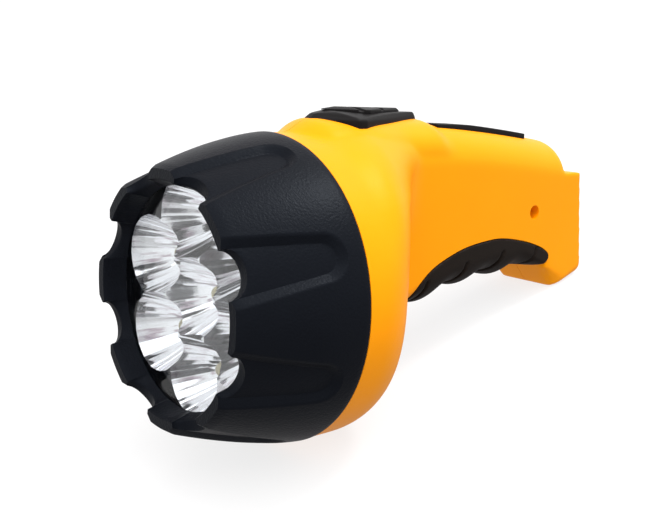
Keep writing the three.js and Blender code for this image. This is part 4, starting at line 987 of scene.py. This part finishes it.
mirror_piece = cylinder("reflector_cups", REFLECTOR_R, REFLECTOR_FRONT, REFLECTOR_FRONT + REFLECTOR_WALL)
skirt = cylinder("skirt", REFLECTOR_R, REFLECTOR_FRONT + SKIRT_LAP, REFLECTOR_BACK)
cut(skirt, cylinder("bore", REFLECTOR_R - REFLECTOR_WALL, -BEYOND, 0))
cut(mirror_piece, skirt, way="UNION", solver="EXACT")
solid = (REFLECTOR_FRONT + CUP_LAP, REFLECTOR_BACK + REAR_LAP)
for y, z in cups:
    cut(mirror_piece, cup("wall", REFLECTOR_WALL, *solid, y, z), way="UNION", solver="EXACT")
for y, z in posts:
    cut(mirror_piece, cylinder("post", POST_R, *solid, POST_SIDES, y, z), way="UNION", solver="EXACT")
for y, z in cups:
    cut(mirror_piece, cup("hollow", 0, REFLECTOR_FRONT - CUP_OPENING, 0, y, z, CUP_UNEVEN), solver="EXACT")
for y, z in posts:
    cut(mirror_piece, cylinder("pilot", SCREW_PILOT_R, PILOT_TOP, 0, 16, y, z), solver="EXACT")

plating = Finish("bright_reflector", Metallic=1.0)
ripple = plating.noise(260, 2, 0.5)
plating.feed("Base Color", plating.between(ripple, (0.93, 0.93, 0.95, 1), (0.99, 0.99, 1, 1)))
plating.feed("Roughness", ripple * 0.06 + 0.05)
plating.texture(ripple, 0.12, 0.0001)
fitted(shaded(mirror_piece, 8), "housing", plating.material, "reflector")


# LEDs. Seven 5 mm LEDs in clear epoxy, each with a flange and a domed nose, tinted pale yellow by the
# phosphor over its die, and soldered to the board behind the reflector.
LED_R = 2.5
LED_FLANGE_R = 2.8
LED_BASE = -12.65
LED_LENGTH = 8.4
LED_ROOT = 1.2
LED_FLANGE = 1
LED_EDGE = 0.15

epoxy = Finish("led_epoxy", Roughness=0.05, Transmission_Weight=0.7, IOR=1.5)
tint = epoxy.noise(300, 1, 0.5)
epoxy.feed("Base Color", epoxy.between(tint, tone(250, 244, 205), tone(255, 250, 228)))
epoxy.texture(tint, 0.1, 0.0001)


def led_piece(name, y, z):
    """One LED, turned from its nose to its flange."""
    nose = LED_BASE - LED_LENGTH + LED_R
    dome = [(nose - LED_R * math.cos(a), LED_R * math.sin(a)) for a in turns_of_quarter(10)[1:]]
    flange = [
        (LED_BASE - LED_ROOT, LED_R),
        (LED_BASE - LED_FLANGE, LED_FLANGE_R - LED_EDGE),
        (LED_BASE - LED_FLANGE + LED_EDGE, LED_FLANGE_R),
        (LED_BASE, LED_FLANGE_R),
    ]
    return turned(name, [*dome, *flange], 32, y, z)


for i, (y, z) in enumerate(cups):
    led = shaded(led_piece(f"led_dome_{i + 1}", y, z), 40)
    fitted(led, "housing", epoxy.material, f"led_{i + 1}")


# Lens. A flat disc of clear acrylic behind the bezel's lip, with its edges eased. It lets light straight
# through, with a weak sheen that grows where it is seen at a slant.
LENS_R = 37.8
LENS_FRONT = -32
LENS_REAR = -30
LENS_EASE = 0.3

acrylic = bpy.data.materials.new("clear_lens")
pane = Nodes(acrylic)
pane.tree.nodes.clear()
glance = pane.node("ShaderNodeLayerWeight", {}, {"Blend": 0.35}, "Facing")
clear = pane.node("ShaderNodeBsdfTransparent", {}, {"Color": (0.97, 0.98, 0.985, 1)})
sheen = pane.node("ShaderNodeBsdfGlossy", {}, {"Roughness": 0.04})
mixed = pane.node("ShaderNodeMixShader", {}, {0: glance * 0.22, 1: clear, 2: sheen})
pane.tree.links.new(mixed.socket, pane.tree.nodes.new("ShaderNodeOutputMaterial").inputs[0])

lens_line = [
    (LENS_FRONT, LENS_R - LENS_EASE),
    (LENS_FRONT + LENS_EASE, LENS_R),
    (LENS_REAR - LENS_EASE, LENS_R),
    (LENS_REAR, LENS_R - LENS_EASE),
]
disc = turned("lens_disc", lens_line, ROUND_SIDES)
fitted(shaded(disc, 20), "housing", acrylic, "lens")


# Switch. A kite-shaped black bezel plate with a crowned top, stuck on the pad, and a smaller kite-shaped
# knob with three ribs that slides along it and carries a lever into the switch below. A kite's sizes are the
# places of its front, its corners and its rear, and its half-width.
PLATE = (14, 27.5, 63, 13)
PLATE_UPPER = (16.6, 27.7, 62.5, 11.6)
PLATE_TOP = (22, 28, 61.6, 9)
PLATE_WALL = 54.3
PLATE_SHOULDER = 56.2
PLATE_OVER = 57.4  # over its crown, which then cuts it to its height
PLATE_HEIGHT = 57.3
PLATE_SINK = 0.6  # how deep it sits in the pad
PLATE_VOXEL = 0.4
PLATE_PASSES = 6
PLATE_CROWN_R = 34
PLATE_ROOT = 49
PLATE_SLOT_MIDDLE = 55
PLATE_SLOT_TALL = 22
KNOB = (20.8, 34.5, 55, 7.4)
KNOB_TOP = (26, 35, 53.8, 5)
KNOB_HEIGHT = 58.55
KNOB_WALL = 0.45
KNOB_LIFT = 0.05  # off the plate
KNOB_GROOVE = 1.9
KNOB_GROOVE_DEPTH = 0.7
KNOB_RIBS = 3
KNOB_VOXEL = 0.25
KNOB_PASSES = 3
SWITCH_TOP = 49
LEVER_WIDTH = 3.6
LEVER_MIDDLE = 48
LEVER_TALL = 11.4
CROWN_SIDES = 240


def kite(front, corner, rear, half):
    """A kite in plan, with its four points blunted."""
    blunt = half / 8
    return [
        (front, blunt), (front, -blunt), (corner - blunt, -half), (corner + blunt, -half),
        (rear, -blunt), (rear, blunt), (corner + blunt, half), (corner - blunt, half),
    ]  # fmt: skip


def kite_body(name, *levels):
    """A body through kites, each given by its height and its sizes."""
    return lofted(name, [[(x, y, z) for x, y in kite(*sizes)] for z, sizes in levels])


def crowned(name, height, radius):
    """A long cylinder whose top is at a height, to crown a piece or to cut it."""
    return cylinder(name, radius, -60, 160, CROWN_SIDES, z=height - radius)


gloss = moulded_plastic(
    "switch_plastic", tone(20, 18, 18), tone(14, 13, 13), 0.42, 2200, 0.00005, Specular_IOR_Level=0.1,
)  # fmt: skip
levels = (PLATE_ROOT, PLATE), (PLATE_WALL, PLATE), (PLATE_SHOULDER, PLATE_UPPER), (PLATE_OVER, PLATE_TOP)
plate = kite_body("plate", *levels)
cut(plate, crowned("crown", PLATE_HEIGHT, PLATE_CROWN_R), way="INTERSECT")
moulded(plate, PLATE_VOXEL, PLATE_PASSES)
cut(plate, form("seat", PLATE_SINK), pad("seat", PLATE_SINK))
cut(plate, boxed("slot", (SWITCH_X, 0, PLATE_SLOT_MIDDLE), (stem_run, stem_gap, PLATE_SLOT_TALL)))
fitted(shaded(trued(plate), 50), "housing", gloss, "switch_plate")

knob = kite_body("knob", (PLATE_ROOT, KNOB), (PLATE_HEIGHT + KNOB_WALL, KNOB), (KNOB_HEIGHT, KNOB_TOP))
rise = KNOB_HEIGHT - PLATE_HEIGHT
cut(knob, crowned("crown", KNOB_HEIGHT, PLATE_CROWN_R + rise), way="INTERSECT")
for i in range(1, KNOB_RIBS):
    x = KNOB[0] + i * ((KNOB[2] - KNOB[0]) / KNOB_RIBS)
    groove = boxed("groove", (x, 0, KNOB_HEIGHT + 5), (KNOB_GROOVE, 40, 20))
    cut(groove, crowned("floor", KNOB_HEIGHT - KNOB_GROOVE_DEPTH, PLATE_CROWN_R + rise - KNOB_GROOVE_DEPTH))
    cut(knob, groove)
moulded(knob, KNOB_VOXEL, KNOB_PASSES)
cut(knob, crowned("plate", PLATE_HEIGHT + KNOB_LIFT, PLATE_CROWN_R + KNOB_LIFT))
stem_foot = SWITCH_TOP + RUN_GAP
stem_top = PLATE_HEIGHT + RUN_GAP
stem_middle = (SWITCH_X, 0, (stem_foot + stem_top) / 2)
cut(knob, boxed("stem", stem_middle, (STEM_LENGTH, STEM_WIDTH, stem_top - stem_foot)), way="UNION")
cut(knob, boxed("socket", (SWITCH_X, 0, LEVER_MIDDLE), (LEVER_WIDTH, LEVER_WIDTH, LEVER_TALL)))
fitted(shaded(trued(knob), 50), "switch", gloss, "switch_knob")


# Strip. A black moulded strip pressed into its bed on the crest. It stands a little prouder towards the
# rear, and its edges are rounded.
STRIP_LEAST = 0.385
STRIP_MORE = 0.715
STRIP_RISE = 20
STRIP_EASE = 0.5


def strip_height(x):
    """How proud of the crest the strip stands."""
    return STRIP_LEAST + STRIP_MORE * soft((x - STRIP_FRONT) / STRIP_RISE)


strip = slab("strip", strip_bed(0, strip_height), -STRIP_HALF, STRIP_HALF)
changed(strip, "BEVEL", width=STRIP_EASE, segments=3, limit_method="ANGLE", angle_limit=math.radians(40))
fitted(shaded(strip, 40), "housing", gloss, "top_strip")


# Inner pieces: screws, boards, battery, charger, plug and leads. Their solids have the real shape, so each is
# a copy whose doubles are merged, whose flat faces are made whole and whose edges are eased.
def eased(node, width):
    """A copy of a node's solid in its own place, with edges eased by a width in millimetres."""
    piece = drawn(f"{node}_piece", [], [])
    piece.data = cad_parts[node].data.copy()
    mesh = bmesh.new()
    mesh.from_mesh(piece.data)
    bmesh.ops.remove_doubles(mesh, verts=mesh.verts, dist=1e-6)
    bmesh.ops.dissolve_limit(mesh, angle_limit=math.radians(1), verts=mesh.verts, edges=mesh.edges)
    mesh.to_mesh(piece.data)
    mesh.free()
    sharp = math.radians(32)
    changed(piece, "BEVEL", width=width / 1000, segments=2, limit_method="ANGLE", angle_limit=sharp)
    return shaded(piece)


def kept(node, body, finish, width=0.15):
    dressed(eased(node, width), body, finish, node)


def plated(name, colour, deeper, rough):
    """Bare or plated metal, with a faint cloudiness and a fine grain."""
    finish = Finish(name, Metallic=1.0)
    cloud = finish.noise(400, 3, 0.6)
    finish.feed("Base Color", finish.between(cloud, deeper, colour))
    finish.feed("Roughness", cloud * 0.15 + rough)
    finish.texture(finish.noise(3000, 2, 0.5), 0.3, 0.00003)
    return finish.material


zinc = plated("steel", (0.72, 0.73, 0.75, 1), (0.6, 0.61, 0.62, 1), 0.25)
yellow_metal = plated("brass", (0.83, 0.66, 0.33, 1), (0.72, 0.55, 0.26, 1), 0.2)
case = moulded_plastic("grey_case", tone(112, 117, 122), tone(98, 102, 108), 0.5, 1600, 0.0001)
white_mask = moulded_plastic("white_board", tone(232, 230, 222), tone(222, 220, 210), 0.4, 1200, 0.00004)
tan_fibre = moulded_plastic("tan_board", tone(190, 148, 90), tone(168, 126, 70), 0.55, 1400, 0.00006)
film = moulded_plastic("orange_film", tone(172, 58, 32), tone(150, 44, 24), 0.35, 900, 0.00008)
lead_red = moulded_plastic("lead_red", tone(186, 44, 36), tone(166, 34, 28), 0.5, 1500, 0.00004)
lead_black = moulded_plastic("lead_black", tone(34, 34, 36), tone(26, 26, 28), 0.5, 1500, 0.00004)
lamp_red = moulded_plastic("red_lens", tone(190, 26, 20), tone(160, 16, 14), 0.14, 800, 0.00003)

for kind, count in (("shell", 5), ("reflector", 3), ("charger", 2)):
    for i in range(count):
        kept(f"{kind}_screw_{i + 1}", "housing", zinc)
kept("led_board", "housing", white_mask)
kept("led_resistor", "housing", tan_fibre)
kept("switch_body", "housing", case, 0.25)
kept("switch_lever", "switch", gloss, 0.2)
kept("battery", "housing", case, 0.4)
kept("battery_terminal_plus", "housing", yellow_metal)
kept("battery_terminal_minus", "housing", yellow_metal)
kept("charger_board", "housing", tan_fibre)
kept("capacitor", "housing", film, 0.6)
kept("rectifier", "housing", charcoal, 0.3)
kept("charge_indicator", "housing", lamp_red, 0.1)
kept("plug_carrier", "plug", charcoal, 0.3)
for side in ("left", "right"):
    kept(f"plug_blade_{side}", "plug", yellow_metal, 0.25)
    kept(f"plug_contact_{side}", "housing", yellow_metal, 0.1)
    kept(f"lead_mains_{side}", "housing", lead_black, 0.1)
kept("lead_switch_led", "housing", lead_red, 0.1)
kept("lead_battery_plus", "housing", lead_red, 0.1)
kept("lead_battery_minus", "housing", lead_black, 0.1)
kept("lead_charger_plus", "housing", lead_red, 0.1)
kept("lead_charger_minus", "housing", lead_black, 0.1)


# Floor and light. A pale floor that takes only a soft shadow, and a white studio all round, a little darker
# low down and with faint drifts. A broad soft light comes from the viewer's side and two lamps from above.
bpy.ops.mesh.primitive_plane_add(size=60, location=(0, 0, 0))
floor = bpy.context.object
floor.name = "floor"
floor.visible_diffuse = False
floor.visible_glossy = False
paper = Finish(
    "floor_paper", Roughness=0.9, Specular_IOR_Level=0, Emission_Color=(1, 1, 1, 1), Emission_Strength=0.78,
)  # fmt: skip
mottle = paper.noise(40, 3, 0.5)
paper.feed("Base Color", paper.between(mottle, (0.19, 0.19, 0.19, 1), (0.21, 0.21, 0.21, 1)))
floor.data.materials.append(paper.material)

bpy.context.scene.view_settings.view_transform = "Standard"
world = bpy.data.worlds.new("studio")
bpy.context.scene.world = world
studio = Nodes(world)
facing = studio.node("ShaderNodeTexCoord", {}, {}, "Generated")
height = studio.node("ShaderNodeSeparateXYZ", {}, {"Vector": facing}, "Z")


def ranged(value, low, high, first, last):
    """A value's share between two others, turned into another range."""
    values = {"Value": value, "From Min": low, "From Max": high, "To Min": first, "To Max": last}
    return studio.node("ShaderNodeMapRange", {}, values, "Result")


dusk = ranged(height, -0.25, 0, 0.56, 1)
calm = ranged(height.math("ABSOLUTE", height), 0.08, 0.22, 0.3, 0)
drift = studio.node("ShaderNodeTexNoise", {}, {"Vector": facing, "Scale": 4.5, "Detail": 4}, "Fac")
stops = [(0.36, (0.44, 0.34, 0.39, 1)), (0.5, (1, 1, 1, 1))]
cloudy = studio.node("ShaderNodeValToRGB", {"stops": stops}, {"Fac": drift + calm}, "Color")
shade = studio.node("ShaderNodeVectorMath", {"operation": "SCALE"}, {0: cloudy, "Scale": dusk}, "Vector")
sky = studio.tree.nodes["Background"]
sky.inputs["Strength"].default_value = 1.12
studio.tree.links.new(shade.socket, sky.inputs["Color"])

AIM = Vector((0, 0, 0.05))


def lit(name, kind, place, power, **settings):
    """A lamp that is aimed at the middle of the torch."""
    lamp = bpy.data.lights.new(name, kind)
    lamp.energy = power
    for key, value in settings.items():
        setattr(lamp, key, value)
    piece = bpy.data.objects.new(name, lamp)
    bpy.context.collection.objects.link(piece)
    piece.location = place
    piece.rotation_euler = (AIM - Vector(place)).to_track_quat("-Z", "Y").to_euler()
    return piece


lit("sky_light", "SUN", (-0.35, -0.7, 2), 1.4, angle=math.radians(60)).visible_glossy = False
lit("key", "AREA", (0.25, -0.5, 1.3), 8, size=1.5)
lit("edge_light", "AREA", (0.75, -0.32, 1), 8, size=0.28)
